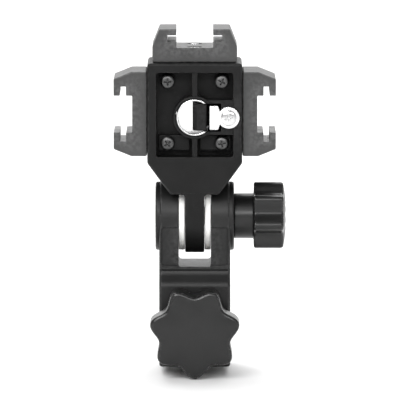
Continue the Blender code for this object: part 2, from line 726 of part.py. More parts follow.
def shoe_mesh():
    """One accessory shoe with its base on Z = 0, its slot along Y and its mouth towards +Z."""
    right = [
        (SHOE_BASE_HALF_W, 0.0),
        (SHOE_BASE_HALF_W, SHOE_SHOULDER),
        (SHOE_TIP_HALF_W, SHOE_HEIGHT),
        (SHOE_MOUTH_HALF_W, SHOE_HEIGHT),
        (SHOE_MOUTH_HALF_W, SHOE_FOOT_HIGH),
        (SHOE_FOOT_HALF_W, SHOE_FOOT_HIGH),
        (SHOE_FOOT_HALF_W, SHOE_FOOT_LOW),
        (SHOE_MOUTH_HALF_W, SHOE_FOOT_LOW),
        (SHOE_MOUTH_HALF_W, SHOE_FLOOR),
    ]
    outline = right + [(-x, z) for x, z in reversed(right)]
    bm = bmesh.new()
    add_prism(bm, outline, "Y", -SHOE_HALF_D, SHOE_HALF_D)
    mesh = bpy.data.meshes.new("shoe")
    bm.to_mesh(mesh)
    bm.free()
    mesh.set_sharp_from_angle(angle=math.radians(35))
    return mesh


def screw_mesh(name, head_r, head_h, length):
    """A cross-head screw along Z, with its head's underside on Z = 0 and its head towards +Z."""
    bm = bmesh.new()
    profile = [(-length, 0.5), (-length + 1.0, SCREW_SHANK_R), (0.0, SCREW_SHANK_R), (0.0, head_r)]
    profile += [(head_h * 0.55, head_r), (head_h, head_r * 0.7)]
    add_turned(bm, profile, "Z", count=16)
    mesh = bpy.data.meshes.new(name)
    bm.to_mesh(mesh)
    bm.free()
    mesh.shade_smooth()
    mesh.set_sharp_from_angle(angle=math.radians(35))
    return mesh


def cross_cutter(head_r, head_h):
    """A cross-shaped cutter that stands in the top of a screw's head."""
    arm, half = head_r * 0.55, head_r * 0.14
    quarter = [(arm, -half), (arm, half), (half, half)]
    outline = []
    for turn in range(4):
        cos, sin = ((1, 0), (0, 1), (-1, 0), (0, -1))[turn]
        outline += [(x * cos - y * sin, x * sin + y * cos) for x, y in quarter]
    bm = bmesh.new()
    add_prism(bm, outline, "Z", head_h * 0.35, head_h + 1.0)
    return bm


def add_screw(name, mesh, head, finish_name, origin, rotation, tilt):
    screw = add_object(name, mesh, finish_name, origin, rotation, tilt)
    cut(screw, "cross", cross_cutter(*head))
    # The cutter stands where the screw does.
    cutter = screw.modifiers[-1].object
    cutter.parent = tilt
    cutter.location = screw.location
    cutter.rotation_euler = screw.rotation_euler


def build_shoes(tilt):
    shoe = shoe_mesh()
    head = (2.3, 1.2)
    screw = screw_mesh("shoe_screw", *head, 6.0)
    seat = SHOE_FLOOR - 0.1 - head[1]
    quarter_turn = math.pi / 2
    base = HEAD_HALF_W + GAP
    places = {
        "left": ((-base, 0.0, SIDE_SHOE_Z), -quarter_turn, (-1, 0)),
        "right": ((base, 0.0, SIDE_SHOE_Z), quarter_turn, (1, 0)),
        "top": ((0.0, 0.0, HEAD_TOP_Z + GAP), 0.0, (0, 1)),
    }
    for side, (origin, turn, out) in places.items():
        obj = add_object(f"shoe_{side}", shoe, "grey_plastic", origin, (0.0, turn, 0.0), tilt)
        bm = bmesh.new()
        for y in (-SHOE_SCREW_Y, SHOE_SCREW_Y):
            hole = [(-1.0, SCREW_HOLE_R), (seat - GAP, SCREW_HOLE_R)]
            hole += [(seat - GAP, head[0] + GAP), (SHOE_FLOOR + 1.0, head[0] + GAP)]
            add_turned(bm, hole, "Z", (0.0, y), 16)
        cut(obj, "screw_holes", bm)
        cutter = obj.modifiers[-1].object
        cutter.parent = tilt
        cutter.location = obj.location
        cutter.rotation_euler = obj.rotation_euler
        for number, y in enumerate((-SHOE_SCREW_Y, SHOE_SCREW_Y), 1):
            at = (origin[0] + out[0] * seat, y, origin[2] + out[1] * seat)
            name = f"shoe_screw_{side}_{number}"
            add_screw(name, screw, head, "bright_steel", at, (0.0, turn, 0.0), tilt)


def build_front_screws(tilt):
    facing_front = (math.pi / 2, 0.0, 0.0)
    head = (2.3, 1.4)
    mesh = screw_mesh("cover_screw", *head, 17.5)
    for number, (x, z) in enumerate(COVER_SCREW_XZ, 1):
        at = (x, COVER_BOSS_Y - GAP, z)
        add_screw(f"cover_screw_{number}", mesh, head, "blackened_steel", at, facing_front, tilt)
    head = (2.6, 1.1)
    mesh = screw_mesh("retainer_screw", *head, 6.0)
    at = (PLATE_EYE_X, PLATE_SEAT_Y - PLATE_T - 2 * GAP, BORE_Z)
    add_screw("retainer_screw", mesh, head, "bright_steel", at, facing_front, tilt)


def main():
    clear_scene()
    build_yoke_body()
    build_hinge()
    build_stand_clamp()
    build_tilt_clamp()
    tilt = axis_empty("head_tilt_axis", (0.0, 0.0, TILT_Z))
    build_head_body(tilt)
    build_rear_cover(tilt)
    build_bore_parts(tilt)
    build_jaw(tilt)
    build_shoes(tilt)
    build_front_screws(tilt)


main()
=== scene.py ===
"""The looks of the umbrella swivel bracket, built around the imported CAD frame.

Each CAD node is replaced by a finer piece in the same place. Shapes are made in millimetres, and piece()
turns them into metres. +Z is up along the light stand, -Y is the front and +X is the tilt knob's side.
"""

import json
import math

import bmesh
import bpy
from mathutils import Matrix, Vector


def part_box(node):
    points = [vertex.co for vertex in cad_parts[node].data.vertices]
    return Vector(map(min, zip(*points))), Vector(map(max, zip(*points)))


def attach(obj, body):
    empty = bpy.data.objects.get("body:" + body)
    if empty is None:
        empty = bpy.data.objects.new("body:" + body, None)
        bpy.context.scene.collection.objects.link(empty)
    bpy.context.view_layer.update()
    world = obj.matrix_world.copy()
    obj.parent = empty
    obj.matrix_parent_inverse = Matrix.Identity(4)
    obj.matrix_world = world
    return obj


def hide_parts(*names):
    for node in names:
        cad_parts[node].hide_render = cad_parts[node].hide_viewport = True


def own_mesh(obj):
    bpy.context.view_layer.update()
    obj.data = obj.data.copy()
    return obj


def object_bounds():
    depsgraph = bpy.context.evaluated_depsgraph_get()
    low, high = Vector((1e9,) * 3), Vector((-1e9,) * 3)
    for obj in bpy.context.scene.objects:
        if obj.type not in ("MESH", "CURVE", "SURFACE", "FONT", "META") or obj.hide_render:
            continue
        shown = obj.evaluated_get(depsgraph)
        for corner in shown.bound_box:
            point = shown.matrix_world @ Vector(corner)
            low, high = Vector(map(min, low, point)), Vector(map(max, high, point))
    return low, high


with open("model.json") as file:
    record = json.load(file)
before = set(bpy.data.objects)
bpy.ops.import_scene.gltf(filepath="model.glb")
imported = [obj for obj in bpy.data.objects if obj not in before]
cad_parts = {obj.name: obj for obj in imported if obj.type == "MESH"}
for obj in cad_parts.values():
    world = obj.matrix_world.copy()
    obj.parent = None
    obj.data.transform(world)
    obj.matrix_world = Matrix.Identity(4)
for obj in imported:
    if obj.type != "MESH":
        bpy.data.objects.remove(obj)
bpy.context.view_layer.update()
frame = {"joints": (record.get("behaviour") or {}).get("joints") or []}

MM = 0.001
ROUND = 96  # sides of a large round
FINE = 48  # sides of a small round
EDGE_STEPS = 4  # facets across a rounded edge
FILL = 0.22  # how far a piece reaches into the CAD's gap beside it, so that no light comes through
HOLE_GAP = 0.3  # the CAD's gap between a piece and the hole it sits in
TINY = 0.004  # vertices closer than this are merged after a boolean
PAST = 0.003  # how far a rounded lip ends past its surface, because booleans fail on faces that coincide
THROUGH = [(-20.0, 0.0), (20.0, 0.0)]  # levels of a cutter from one side of the bracket to the other


def span(node):
    """A CAD node's lowest and highest corners at rest, in millimetres."""
    low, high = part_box(node)
    return low / MM, high / MM


def joint_place(name):
    """A joint's place at rest, in millimetres."""
    place = next(j["pos_m"] for j in frame["joints"] if j["name"] == name)
    return Vector(place) / MM


YOKE_LOW, YOKE_HIGH = span("yoke_body")
HEAD_LOW, HEAD_HIGH = span("head_body")
TILT_Z = joint_place("head_tilt").z
STAR_Z = joint_place("star_knob_turn").z
BORE_Z = sum(corner.z for corner in span("bore_sleeve")) / 2


# ---------------------------------------------------------------- outlines


def fillet(points, closed=True, steps=6):
    """An outline with its corners rounded. Each point is (u, v), or (u, v, radius of the corner)."""
    out = []
    for i, point in enumerate(points):
        here = Vector(point[:2])
        radius = point[2] if len(point) > 2 else 0.0
        at_end = not closed and i in (0, len(points) - 1)
        if radius <= 0.0 or at_end:
            out.append(tuple(here))
            continue
        back = (Vector(points[i - 1][:2]) - here).normalized()
        ahead = (Vector(points[(i + 1) % len(points)][:2]) - here).normalized()
        half = back.angle(ahead) / 2
        centre = here + (back + ahead).normalized() * (radius / math.sin(half))
        start = here + back * (radius / math.tan(half)) - centre
        end = here + ahead * (radius / math.tan(half)) - centre
        first = math.atan2(start.y, start.x)
        turn = (math.atan2(end.y, end.x) - first + math.pi) % (2 * math.pi) - math.pi
        for k in range(steps + 1):
            angle = first + turn * k / steps
            out.append((centre.x + radius * math.cos(angle), centre.y + radius * math.sin(angle)))
    return out


def rectangle(u_low, v_low, u_high, v_high, radius=0.0):
    """A rectangle's outline, with all its corners rounded alike."""
    corners = ((u_low, v_low), (u_high, v_low), (u_high, v_high), (u_low, v_high))
    return fillet([(u, v, radius) for u, v in corners], steps=5)


def arc(radius, start, end, steps, centre=(0.0, 0.0)):
    """Points on an arc between two angles in degrees."""
    points = []
    for i in range(steps + 1):
        angle = math.radians(start + (end - start) * i / steps)
        points.append((centre[0] + radius * math.cos(angle), centre[1] + radius * math.sin(angle)))
    return points


def mirrored(right):
    """A closed outline from its right half, given from top to bottom as (u, v) or (u, v, radius)."""
    return list(right) + [(-p[0], *p[1:]) for p in reversed(right)]


def inset(outline, distance):
    """A closed outline moved inwards by a distance, along the bisectors of its corners."""
    count = len(outline)
    area = sum(outline[i - 1][0] * outline[i][1] - outline[i][0] * outline[i - 1][1] for i in range(count))
    side = math.copysign(1.0, area)
    moved = []
    for i in range(count):
        before, here, after = (Vector(outline[k % count]) for k in (i - 1, i, i + 1))
        normal_in = (here - before).orthogonal().normalized() * side
        normal_out = (after - here).orthogonal().normalized() * side
        mitre = (normal_in + normal_out) / (1.0 + normal_in.dot(normal_out))
        moved.append(tuple(here + mitre * distance))
    return moved


def rounded_end(place, radius, inward):
    """Levels of a rounded edge at one end of a solid. Inward is +1 or -1, the way into the solid."""
    if radius <= 0.0:
        return [(place, 0.0)]
    levels = []
    for k in range(EDGE_STEPS + 1):
        angle = math.pi / 2 * k / EDGE_STEPS
        levels.append((place + inward * radius * (1 - math.cos(angle)), radius * (1 - math.sin(angle))))
    return levels


def block(low, high, radius_low=0.0, radius_high=0.0):
    """Levels of a solid with a rounded edge at each end."""
    return rounded_end(low, radius_low, 1) + rounded_end(high, radius_high, -1)[::-1]


def hollow_out(floor, surface, lip, beyond=4.0):
    """Levels of a cutter from a floor to past a surface, where it leaves a rounded lip."""
    outward = math.copysign(1.0, surface - floor)
    levels = [(floor, 0.0)]
    for k in range(EDGE_STEPS + 1):
        angle = math.pi / 2 * k / EDGE_STEPS
        depth = lip * (1 - math.sin(angle))
        levels.append((surface + outward * (PAST - depth), -lip * (1 - math.cos(angle))))
    levels.append((surface + outward * beyond, -lip))
    return levels


# ---------------------------------------------------------------- solids


def along(axis, u, v, w):
    """The point at w along the axis and (u, v) across it, in X, Y, Z order."""
    return {"X": (w, u, v), "Y": (u, w, v), "Z": (u, v, w)}[axis]


def add_loft(bm, rings, hollow=False):
    """A closed skin through rings of equal length, its ends capped or, when hollow, joined."""
    loops = [[bm.verts.new(point) for point in ring] for ring in rings]
    pairs = list(zip(loops, loops[1:]))
    if hollow:
        pairs.append((loops[-1], loops[0]))
    faces = []
    for low, high in pairs:
        for i in range(len(low)):
            j = (i + 1) % len(low)
            faces.append(bm.faces.new((low[i], low[j], high[j], high[i])))
    if not hollow:
        faces.append(bm.faces.new(loops[0]))
        faces.append(bm.faces.new(loops[-1]))
    bmesh.ops.recalc_face_normals(bm, faces=faces)


def add_stack(bm, outline, axis, levels):
    """A solid of one outline along an axis. Each level is (place along the axis, inset of the outline)."""
    add_loft(bm, [[along(axis, u, v, w) for u, v in inset(outline, d)] for w, d in levels])


def ring_points(radius, count, centre=(0.0, 0.0)):
    """Points about a centre. The radius is a number, or a function of the angle."""
    points = []
    for i in range(count):
        angle = 2 * math.pi * i / count
        r = radius(angle) if callable(radius) else radius
        points.append((centre[0] + r * math.cos(angle), centre[1] + r * math.sin(angle)))
    return points


def add_turned(bm, profile, axis, centre=(0.0, 0.0), count=FINE, hollow=False):
    """A turned solid from (place along the axis, radius) pairs."""
    rings = [[along(axis, u, v, w) for u, v in ring_points(r, count, centre)] for w, r in profile]
    add_loft(bm, rings, hollow)


def bored(radius, floor, surface, lip, beyond=4.0):
    """Profile of a round cutter from a floor to past a surface, where it leaves a rounded lip."""
    return [(w, radius - d) for w, d in hollow_out(floor, surface, lip, beyond)]


def add_tube(bm, axis, centre, outer, inner, low, high, edge, count=FINE):
    """A tube with its four rims rounded alike."""
    corners = ((low, outer), (high, outer), (high, inner), (low, inner))
    profile = fillet([(w, r, edge) for w, r in corners], steps=3)
    add_turned(bm, profile, axis, centre, count, hollow=True)


def thread(axis, radius, depth, pitch, low, high):
    """Profile of a screw thread, as a right-handed ridge, with a short lead at each end."""
    hand = -1 if axis == "Y" else 1
    steps = max(8, int(abs(high - low) / pitch * 8))
    profile = []
    for i in range(steps + 1):
        w = low + (high - low) * i / steps
        lead = min(1.0, min(i, steps - i) / 6)

        def radius_at(angle, w=w, lead=lead):
            turns = (w / pitch - hand * angle / (2 * math.pi)) % 1.0
            return radius - depth * (1 - lead * (1 - abs(2 * turns - 1)))

        profile.append((w, radius_at))
    return profile


def hexagonal(flats, limit=99.0):
    """The radius of a hexagon's outline as a function of the angle, no larger than a limit."""
    return lambda angle: min(limit, flats / 2 / math.cos(angle % (math.pi / 3) - math.pi / 6))


def lobed(tip, root, lobes, phase, sharpness=0.0):
    """The radius of a lobed knob's outline as a function of the angle. Sharpness narrows the lobes."""

    def radius(angle):
        wave = math.cos(lobes * (angle - phase))
        wave = wave - sharpness * (1 - wave * wave)
        return (tip + root) / 2 + (tip - root) / 2 * wave

    return radius


def draft(bm):
    """A temporary object for booleans to work on or with."""
    mesh = bpy.data.meshes.new("draft")
    bm.to_mesh(mesh)
    bm.free()
    obj = bpy.data.objects.new("draft", mesh)
    bpy.context.scene.collection.objects.link(obj)
    return obj


def combined(solid, *steps):
    """The solid after each step in turn: ("join" or "cut", another solid, whose shells don't overlap)."""
    target = draft(solid)
    tools = []
    for kind, bm in steps:
        modifier = target.modifiers.new(kind, "BOOLEAN")
        modifier.operation = "UNION" if kind == "join" else "DIFFERENCE"
        modifier.solver = "EXACT"
        modifier.object = draft(bm)
        tools.append(modifier.object)
    graph = bpy.context.evaluated_depsgraph_get()
    mesh = bpy.data.meshes.new_from_object(target.evaluated_get(graph))
    for obj in [target] + tools:
        bpy.data.objects.remove(obj, do_unlink=True)
    bm = bmesh.new()
    bm.from_mesh(mesh)
    bpy.data.meshes.remove(mesh)
    bmesh.ops.remove_doubles(bm, verts=bm.verts, dist=TINY)
    bmesh.ops.dissolve_degenerate(bm, edges=bm.edges, dist=TINY / 2)
    return bm


def soften(bm, chosen, width, segments=3):
    """Rounds the sharp edges that the rule picks. The rule gets an edge's two ends."""
    edges = []
    for edge in bm.edges:
        if len(edge.link_faces) != 2 or edge.calc_face_angle() < math.radians(35):
            continue
        if chosen(*(v.co for v in edge.verts)):
            edges.append(edge)
    bmesh.ops.bevel(bm, geom=edges, offset=width, segments=segments, profile=0.5, affect="EDGES")
    return bm


def new_solid(add, *args, **kwargs):
    """A fresh bmesh holding what one add_ function makes."""
    bm = bmesh.new()
    add(bm, *args, **kwargs)
    return bm


def stacked(outline, axis, levels):
    return new_solid(add_stack, outline, axis, levels)


def turned(profile, axis, centre=(0.0, 0.0), count=FINE):
    return new_solid(add_turned, profile, axis, centre, count)


# ---------------------------------------------------------------- materials


class Graph:
    """A material's nodes, made by short calls."""

    def __init__(self, name):
        self.material = bpy.data.materials.new(name)
        self.material.use_nodes = True
        self.tree = self.material.node_tree
        self.shader = self.tree.nodes["Principled BSDF"]
        self.place = self.add("TexCoord", {}).node.outputs["Object"]

    def add(self, kind, inputs, output=0, **settings):
        """A node of a kind, with its inputs set or linked. Returns one of its outputs."""
        node = self.tree.nodes.new("ShaderNode" + kind)
        for name, value in settings.items():
            setattr(node, name, value)
        for key, value in inputs.items():
            self.give(node.inputs[key], value)
        return node.outputs[output]

    def give(self, socket, value):
        if isinstance(value, bpy.types.NodeSocket):
            self.tree.links.new(value, socket)
        else:
            socket.default_value = value

    def surface(self, **inputs):
        for name, value in inputs.items():
            self.give(self.shader.inputs[name.replace("_", " ")], value)
        return self.material

    def noise(self, size, detail=3.0, stretch=(1.0, 1.0, 1.0)):
        """Noise whose features are about size millimetres across."""
        place = self.place
        if stretch != (1.0, 1.0, 1.0):
            place = self.add("Mapping", {"Vector": place, "Scale": stretch})
        return self.add("TexNoise", {"Vector": place, "Scale": 1 / (size * MM), "Detail": detail})

    def between(self, value, low, high, start=0.0, end=1.0):
        """The value's range from low to high, mapped onto start to end."""
        inputs = {"Value": value, "From Min": low, "From Max": high, "To Min": start, "To Max": end}
        return self.add("MapRange", inputs)

    def mixed(self, share, first, second):
        return self.add("MixRGB", {"Fac": share, "Color1": grey(first), "Color2": grey(second)})

    def times(self, first, second):
        return self.add("Math", {0: first, 1: second}, operation="MULTIPLY")

    def bump(self, height, depth):
        """A normal from a height of 0 to 1 that stands for depth millimetres."""
        return self.add("Bump", {"Height": height, "Distance": depth * MM})


def grey(value):
    """A colour from a brightness, a colour of three numbers, or a socket as it is."""
    if isinstance(value, bpy.types.NodeSocket):
        return value
    if isinstance(value, (int, float)):
        value = (value, value, value)
    return (*value, 1.0)


def moulded(name, dark, light, roughness, grain, worn, specular=0.35):
    """Moulded plastic: a fine grain, faint handling marks, and edges rubbed lighter and smoother."""
    g = Graph(name)
    broad = g.noise(9.0, 4.0)
    cells = g.add("TexVoronoi", {"Vector": g.place, "Scale": 1 / (0.32 * MM)})
    fine = g.noise(0.16, 2.0)
    height = g.add("Math", {0: cells, 1: fine}, operation="ADD")
    rubbed = g.add("Attribute", {}, output="Fac", attribute_name="wear")
    breakup = g.between(g.noise(1.3, 5.0), 0.38, 0.62)
    share = g.times(g.times(rubbed, breakup), 0.75)
    tone = g.mixed(g.between(broad, 0.35, 0.65), dark, light)
    smear = g.between(g.noise(4.0, 6.0, (1.0, 1.0, 0.45)), 0.35, 0.7, roughness * 0.93, roughness * 1.07)
    rough = g.add("Math", {0: smear, 1: g.times(share, -0.16)}, operation="ADD")
    return g.surface(
        Base_Color=g.mixed(share, tone, worn),
        Roughness=rough,
        Specular_IOR_Level=specular,
        Normal=g.bump(height, grain),
    )


def plated(name, colour, roughness):
    """Bright plated steel: fine scratches in two directions and faint clouding."""
    g = Graph(name)
    clouds = g.between(g.noise(2.5, 4.0), 0.35, 0.65, roughness * 0.75, roughness * 1.3)
    scratches = g.noise(0.5, 2.0, (0.06, 1.0, 6.0))
    across = g.noise(0.5, 2.0, (5.0, 1.0, 0.08))
    height = g.add("Math", {0: scratches, 1: across}, operation="ADD")
    dulled = tuple(c * 0.86 for c in colour)
    return g.surface(
        Base_Color=g.mixed(g.between(g.noise(5.0), 0.4, 0.6), colour, dulled),
        Metallic=1.0,
        Roughness=clouds,
        Normal=g.bump(height, 0.002),
    )


def nylon(name):
    """White nylon: slightly translucent, with faint flow marks and a little grime."""
    g = Graph(name)
    grime = g.between(g.noise(1.8, 5.0), 0.52, 0.75, 0.0, 0.5)
    return g.surface(
        Base_Color=g.mixed(grime, (0.86, 0.86, 0.84), (0.66, 0.65, 0.61)),
        Roughness=g.between(g.noise(1.0, 4.0), 0.3, 0.7, 0.36, 0.5),
        Subsurface_Weight=0.12,
        Subsurface_Radius=(1.0, 0.9, 0.8),
        Subsurface_Scale=0.6 * MM,
        Normal=g.bump(g.noise(0.3, 3.0), 0.006),
    )


def rubber(name):
    """Matt black rubber with a pebbled skin."""
    g = Graph(name)
    pebbles = g.add("TexVoronoi", {"Vector": g.place, "Scale": 1 / (0.45 * MM)})
    return g.surface(
        Base_Color=g.mixed(g.between(g.noise(1.5, 4.0), 0.4, 0.7), 0.006, 0.014),
        Roughness=g.between(g.noise(0.8, 3.0), 0.3, 0.7, 0.62, 0.8),
        Specular_IOR_Level=0.25,
        Normal=g.bump(pebbles, 0.03),
    )


MATERIALS = {
    "yoke_plastic": moulded("yoke_plastic", 0.009, 0.013, 0.38, 0.012, 0.040, 0.28),
    "head_plastic": moulded("head_plastic", 0.006, 0.009, 0.42, 0.012, 0.026, 0.17),
    "shoe_plastic": moulded("shoe_plastic", 0.036, 0.046, 0.42, 0.014, 0.10, 0.4),
    "knob_plastic": moulded("knob_plastic", 0.005, 0.008, 0.30, 0.006, 0.030, 0.45),
    "washer_nylon": nylon("washer_nylon"),
    "sleeve_steel": plated("sleeve_steel", (0.86, 0.86, 0.86), 0.2),
    "plate_steel": plated("plate_steel", (0.92, 0.92, 0.92), 0.24),
    "screw_steel": plated("screw_steel", (0.80, 0.80, 0.80), 0.22),
    # the cover screws' steel is coloured far darker than the other screws' steel: painted shade of the
    # front recess they sit in
    "cover_screw_steel": plated("cover_screw_steel", (0.10, 0.10, 0.10), 0.36),
    "bolt_steel": plated("bolt_steel", (0.42, 0.42, 0.43), 0.3),
    "spring_steel": plated("spring_steel", (0.48, 0.48, 0.49), 0.26),
    "insert_brass": plated("insert_brass", (0.80, 0.60, 0.30), 0.3),
    "jaw_rubber": rubber("jaw_rubber"),
}


# ---------------------------------------------------------------- pieces


def edge_wear(mesh_bm):
    """How sharp a convex edge each vertex is on, from 0 on a flat or in a hollow to 1."""
    values = []
    for vert in mesh_bm.verts:
        bends = [e.calc_face_angle_signed(0.0) for e in vert.link_edges if len(e.link_faces) == 2]
        sharpest = math.degrees(max(bends, default=0.0))
        values.append(min(1.0, max(0.0, (sharpest - 14.0) / 8.0)))
    return values


def piece(name, bm, slot_name, body, *nodes):
    """A finished piece: it stands for the CAD nodes given, rides on a body and has its slot's look."""
    bmesh.ops.recalc_face_normals(bm, faces=bm.faces)
    wear = edge_wear(bm)
    bmesh.ops.triangulate(bm, faces=[face for face in bm.faces if len(face.verts) > 4])
    bmesh.ops.scale(bm, verts=bm.verts, vec=(MM, MM, MM))
    mesh = bpy.data.meshes.new(name)
    bm.to_mesh(mesh)
    bm.free()
    mesh.attributes.new("wear", "FLOAT", "POINT").data.foreach_set("value", wear)
    mesh.shade_smooth()
    mesh.set_sharp_from_angle(angle=math.radians(32))
    obj = bpy.data.objects.new(name, mesh)
    bpy.context.scene.collection.objects.link(obj)
    flat = obj.modifiers.new("flat_faces", "WEIGHTED_NORMAL")
    flat.keep_sharp = True
    graph = bpy.context.evaluated_depsgraph_get()
    obj.data = bpy.data.meshes.new_from_object(obj.evaluated_get(graph))
    obj.data.name = name
    obj.modifiers.clear()
    bpy.data.meshes.remove(mesh)
    obj.data.materials.clear()
    obj.data.materials.append(MATERIALS[slot_name])
    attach(obj, body)
    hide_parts(*nodes)
    return obj


# ---------------------------------------------------------------- yoke and hinge

YOKE_HALF_W = 12.1
YOKE_BACK_Y = YOKE_HIGH.y
SOCKET_FRONT_Y = YOKE_LOW.y
EAR_R = 12.0
EAR_DISC_R = 11.7
EAR_DISC_X = YOKE_HIGH.x
SLOT_HALF_W = 5.5
WEB_TOP_Z = 33.9
PANEL_HALF_W = 11.3
PANEL_Y = -11.2
GROOVE_Y = -11.0
SIDE_PANEL_DEPTH = 0.5
SOCKET_R = 8.2
SOCKET_DEPTH = 29.0
BOLT_R = 3.0  # of the hinge bolt and of the star knob's screw
BOLT_HEAD_T = 3.8
THREAD_DEPTH = 0.45
THREAD_PITCH = 1.0
INSERT_R = 4.3
HEX_FLATS = 10.0


def build_yoke():
    outline = [(YOKE_BACK_Y, 0.0, 1.2)] + arc(EAR_R, 0, 180, 48, (0.0, TILT_Z))
    outline += [(-EAR_R, 31.9, 3.4), (SOCKET_FRONT_Y, 28.4, 3.4), (SOCKET_FRONT_Y, 0.0, 1.2)]
    body = stacked(fillet(outline), "X", block(-YOKE_HALF_W, YOKE_HALF_W, 1.0, 1.0))

    discs = bmesh.new()
    for side in (-1, 1):
        face = side * EAR_DISC_X
        groove = face - side * 0.5
        profile = [(side * 9.0, EAR_DISC_R), (face, EAR_DISC_R, 0.7), (face, 9.7, 0.3), (groove, 9.4, 0.3)]
        profile += [(groove, 8.1, 0.3), (face, 7.8, 0.3), (face, 3.0)]
        add_turned(discs, fillet(profile, closed=False), "X", (0.0, TILT_Z), ROUND)

    above = 75.0
    slot = [(-SLOT_HALF_W, WEB_TOP_Z, 1.0), (SLOT_HALF_W, WEB_TOP_Z, 1.0)]
    slot += [(SLOT_HALF_W, above), (-SLOT_HALF_W, above)]
    slot = stacked(fillet(slot), "Y", THROUGH)
    body = soften(combined(body, ("join", discs), ("cut", slot)), on_slot_rim, 0.4)
    holes = [("cut", bm) for bm in yoke_holes()]
    return combined(body, ("cut", yoke_front_cuts()), ("cut", yoke_side_cuts()), *holes)


def on_slot_rim(a, b):
    """True for the edges where the slot comes out of the ears and the web."""
    return max(abs(a.x), abs(b.x)) < SLOT_HALF_W + 0.02 and min(a.z, b.z) > WEB_TOP_Z - 0.02


def yoke_front_cuts():
    """The sunk panel on the front of the ears and the groove below it."""
    bm = bmesh.new()
    panel = rectangle(-PANEL_HALF_W, 34.4, PANEL_HALF_W, TILT_Z - 2.7, 0.7)
    add_stack(bm, panel, "Y", hollow_out(PANEL_Y, -EAR_R, 0.25, 8.0)[::-1])
    groove = rectangle(-PANEL_HALF_W, 32.5, PANEL_HALF_W, 33.3, 0.35)
    add_stack(bm, groove, "Y", [(-20.0, 0.0), (GROOVE_Y, 0.0)])
    return bm


def yoke_side_cuts():
    """Shallow sunk panels on the two sides and the back of the socket block."""
    bm = bmesh.new()
    for side in (-1, 1):
        surface = side * YOKE_HALF_W
        panel = rectangle(-11.0, 3.0, 8.5, 27.5, 1.5)
        levels = hollow_out(surface - side * SIDE_PANEL_DEPTH, surface, 0.25)
        add_stack(bm, panel, "X", levels)
    panel = rectangle(-8.8, 3.0, 8.8, 29.5, 1.5)
    add_stack(bm, panel, "Y", hollow_out(YOKE_BACK_Y - SIDE_PANEL_DEPTH, YOKE_BACK_Y, 0.25))
    return bm


def yoke_holes():
    """The stand socket, the clamp screw's stepped hole, the bolt head's pocket and the bolt's hole."""
    socket = bored(SOCKET_R, SOCKET_DEPTH, 0.0, 1.0)
    insert_end = -SOCKET_R - 1.2
    hole = [(-5.0, BOLT_R + HOLE_GAP), (insert_end, BOLT_R + HOLE_GAP), (insert_end, INSERT_R + HOLE_GAP)]
    hole += bored(INSERT_R + HOLE_GAP, insert_end, SOCKET_FRONT_Y, 0.4)[1:]
    centre = (0.0, TILT_Z)
    floor = span("hinge_bolt")[0].x + BOLT_HEAD_T + HOLE_GAP
    levels = hollow_out(floor, -EAR_DISC_X, 0.3)
    pocket = [(w, hexagonal(HEX_FLATS + 2 * HOLE_GAP - 2 * d)) for w, d in levels]
    bolt_hole = [(floor - 0.5, BOLT_R + HOLE_GAP), (20.0, BOLT_R + HOLE_GAP)]
    return [
        turned(socket, "Z", count=ROUND),
        turned(hole, "Y", (0.0, STAR_Z)),
        turned(pocket, "X", centre, ROUND),
        turned(bolt_hole, "X", centre),
    ]


def hinge_bolt():
    """The cross bolt: a chamfered hexagonal head with a dished end, a plain shank and a thread."""
    low, high = span("hinge_bolt")
    head_end = low.x + BOLT_HEAD_T
    thread_start = high.x - 14.0
    across = HEX_FLATS / 2
    corner = across / math.cos(math.pi / 6)
    profile = [(low.x + 0.35, 0.6), (low.x + 0.3, 3.2), (low.x, 3.5), (low.x, across - 0.25)]
    for k in range(4):
        limit = across - 0.1 + (corner - across + 0.1) * k / 3
        profile.append((low.x + 0.15 + 0.2 * k, hexagonal(HEX_FLATS, limit)))
    profile += [(head_end - 0.2, hexagonal(HEX_FLATS)), (head_end, hexagonal(HEX_FLATS - 0.3))]
    profile += [(head_end, BOLT_R + 0.2), (head_end + 0.3, BOLT_R), (thread_start, BOLT_R)]
    profile += thread("X", BOLT_R, THREAD_DEPTH, THREAD_PITCH, thread_start + 0.2, high.x - 0.6)
    profile.append((high.x, BOLT_R - 0.8))
    return turned(profile, "X", (0.0, TILT_Z), ROUND)


def build_hinge():
    piece("hinge_bolt_fine", hinge_bolt(), "bolt_steel", "yoke", "hinge_bolt")
    centre = (0.0, TILT_Z)
    for node in ("friction_washer_left", "friction_washer_right"):
        low, high = span(node)
        outer = (high.z - low.z) / 2
        ends = (low.x - FILL, high.x + FILL)
        bm = new_solid(add_tube, "X", centre, outer, BOLT_R + HOLE_GAP, *ends, 0.3, ROUND)
        piece(f"{node}_fine", bm, "washer_nylon", "yoke", node)


# ---------------------------------------------------------------- clamps

STAR_LOBES = 7
STAR_TIP_R = 15.4
STAR_ROOT_R = 12.4
KNOB_LOBES = 7
KNOB_TIP_R = 11.6
KNOB_ROOT_R = 8.8
KNOB_HEAD_X = 20.1


def build_star_clamp():
    centre = (0.0, STAR_Z)
    low, high = span("clamp_thread_insert")
    bm = new_solid(add_tube, "Y", centre, INSERT_R, BOLT_R + HOLE_GAP, low.y, high.y, 0.25)
    piece("clamp_thread_insert_fine", bm, "insert_brass", "yoke", "clamp_thread_insert")

    low, high = span("pressure_pad")
    radius = (high.z - low.z) / 2
    profile = [(low.y, radius - 1.0), (low.y, radius, 0.3), (high.y, radius, 0.5), (high.y, 1.0)]
    bm = turned(fillet(profile, closed=False), "Y", centre)
    piece("pressure_pad_fine", bm, "insert_brass", "pressure_pad", "pressure_pad")

    low, high = span("star_screw")
    ridge = thread("Y", BOLT_R, THREAD_DEPTH, THREAD_PITCH, low.y + 0.2, high.y - 0.7)
    profile = [(low.y, 2.0)] + ridge + [(high.y, 2.2)]
    bm = turned(profile, "Y", centre)
    piece("star_screw_fine", bm, "bolt_steel", "star_knob", "star_screw")
    piece("star_knob_fine", star_knob(), "knob_plastic", "star_knob", "star_knob")


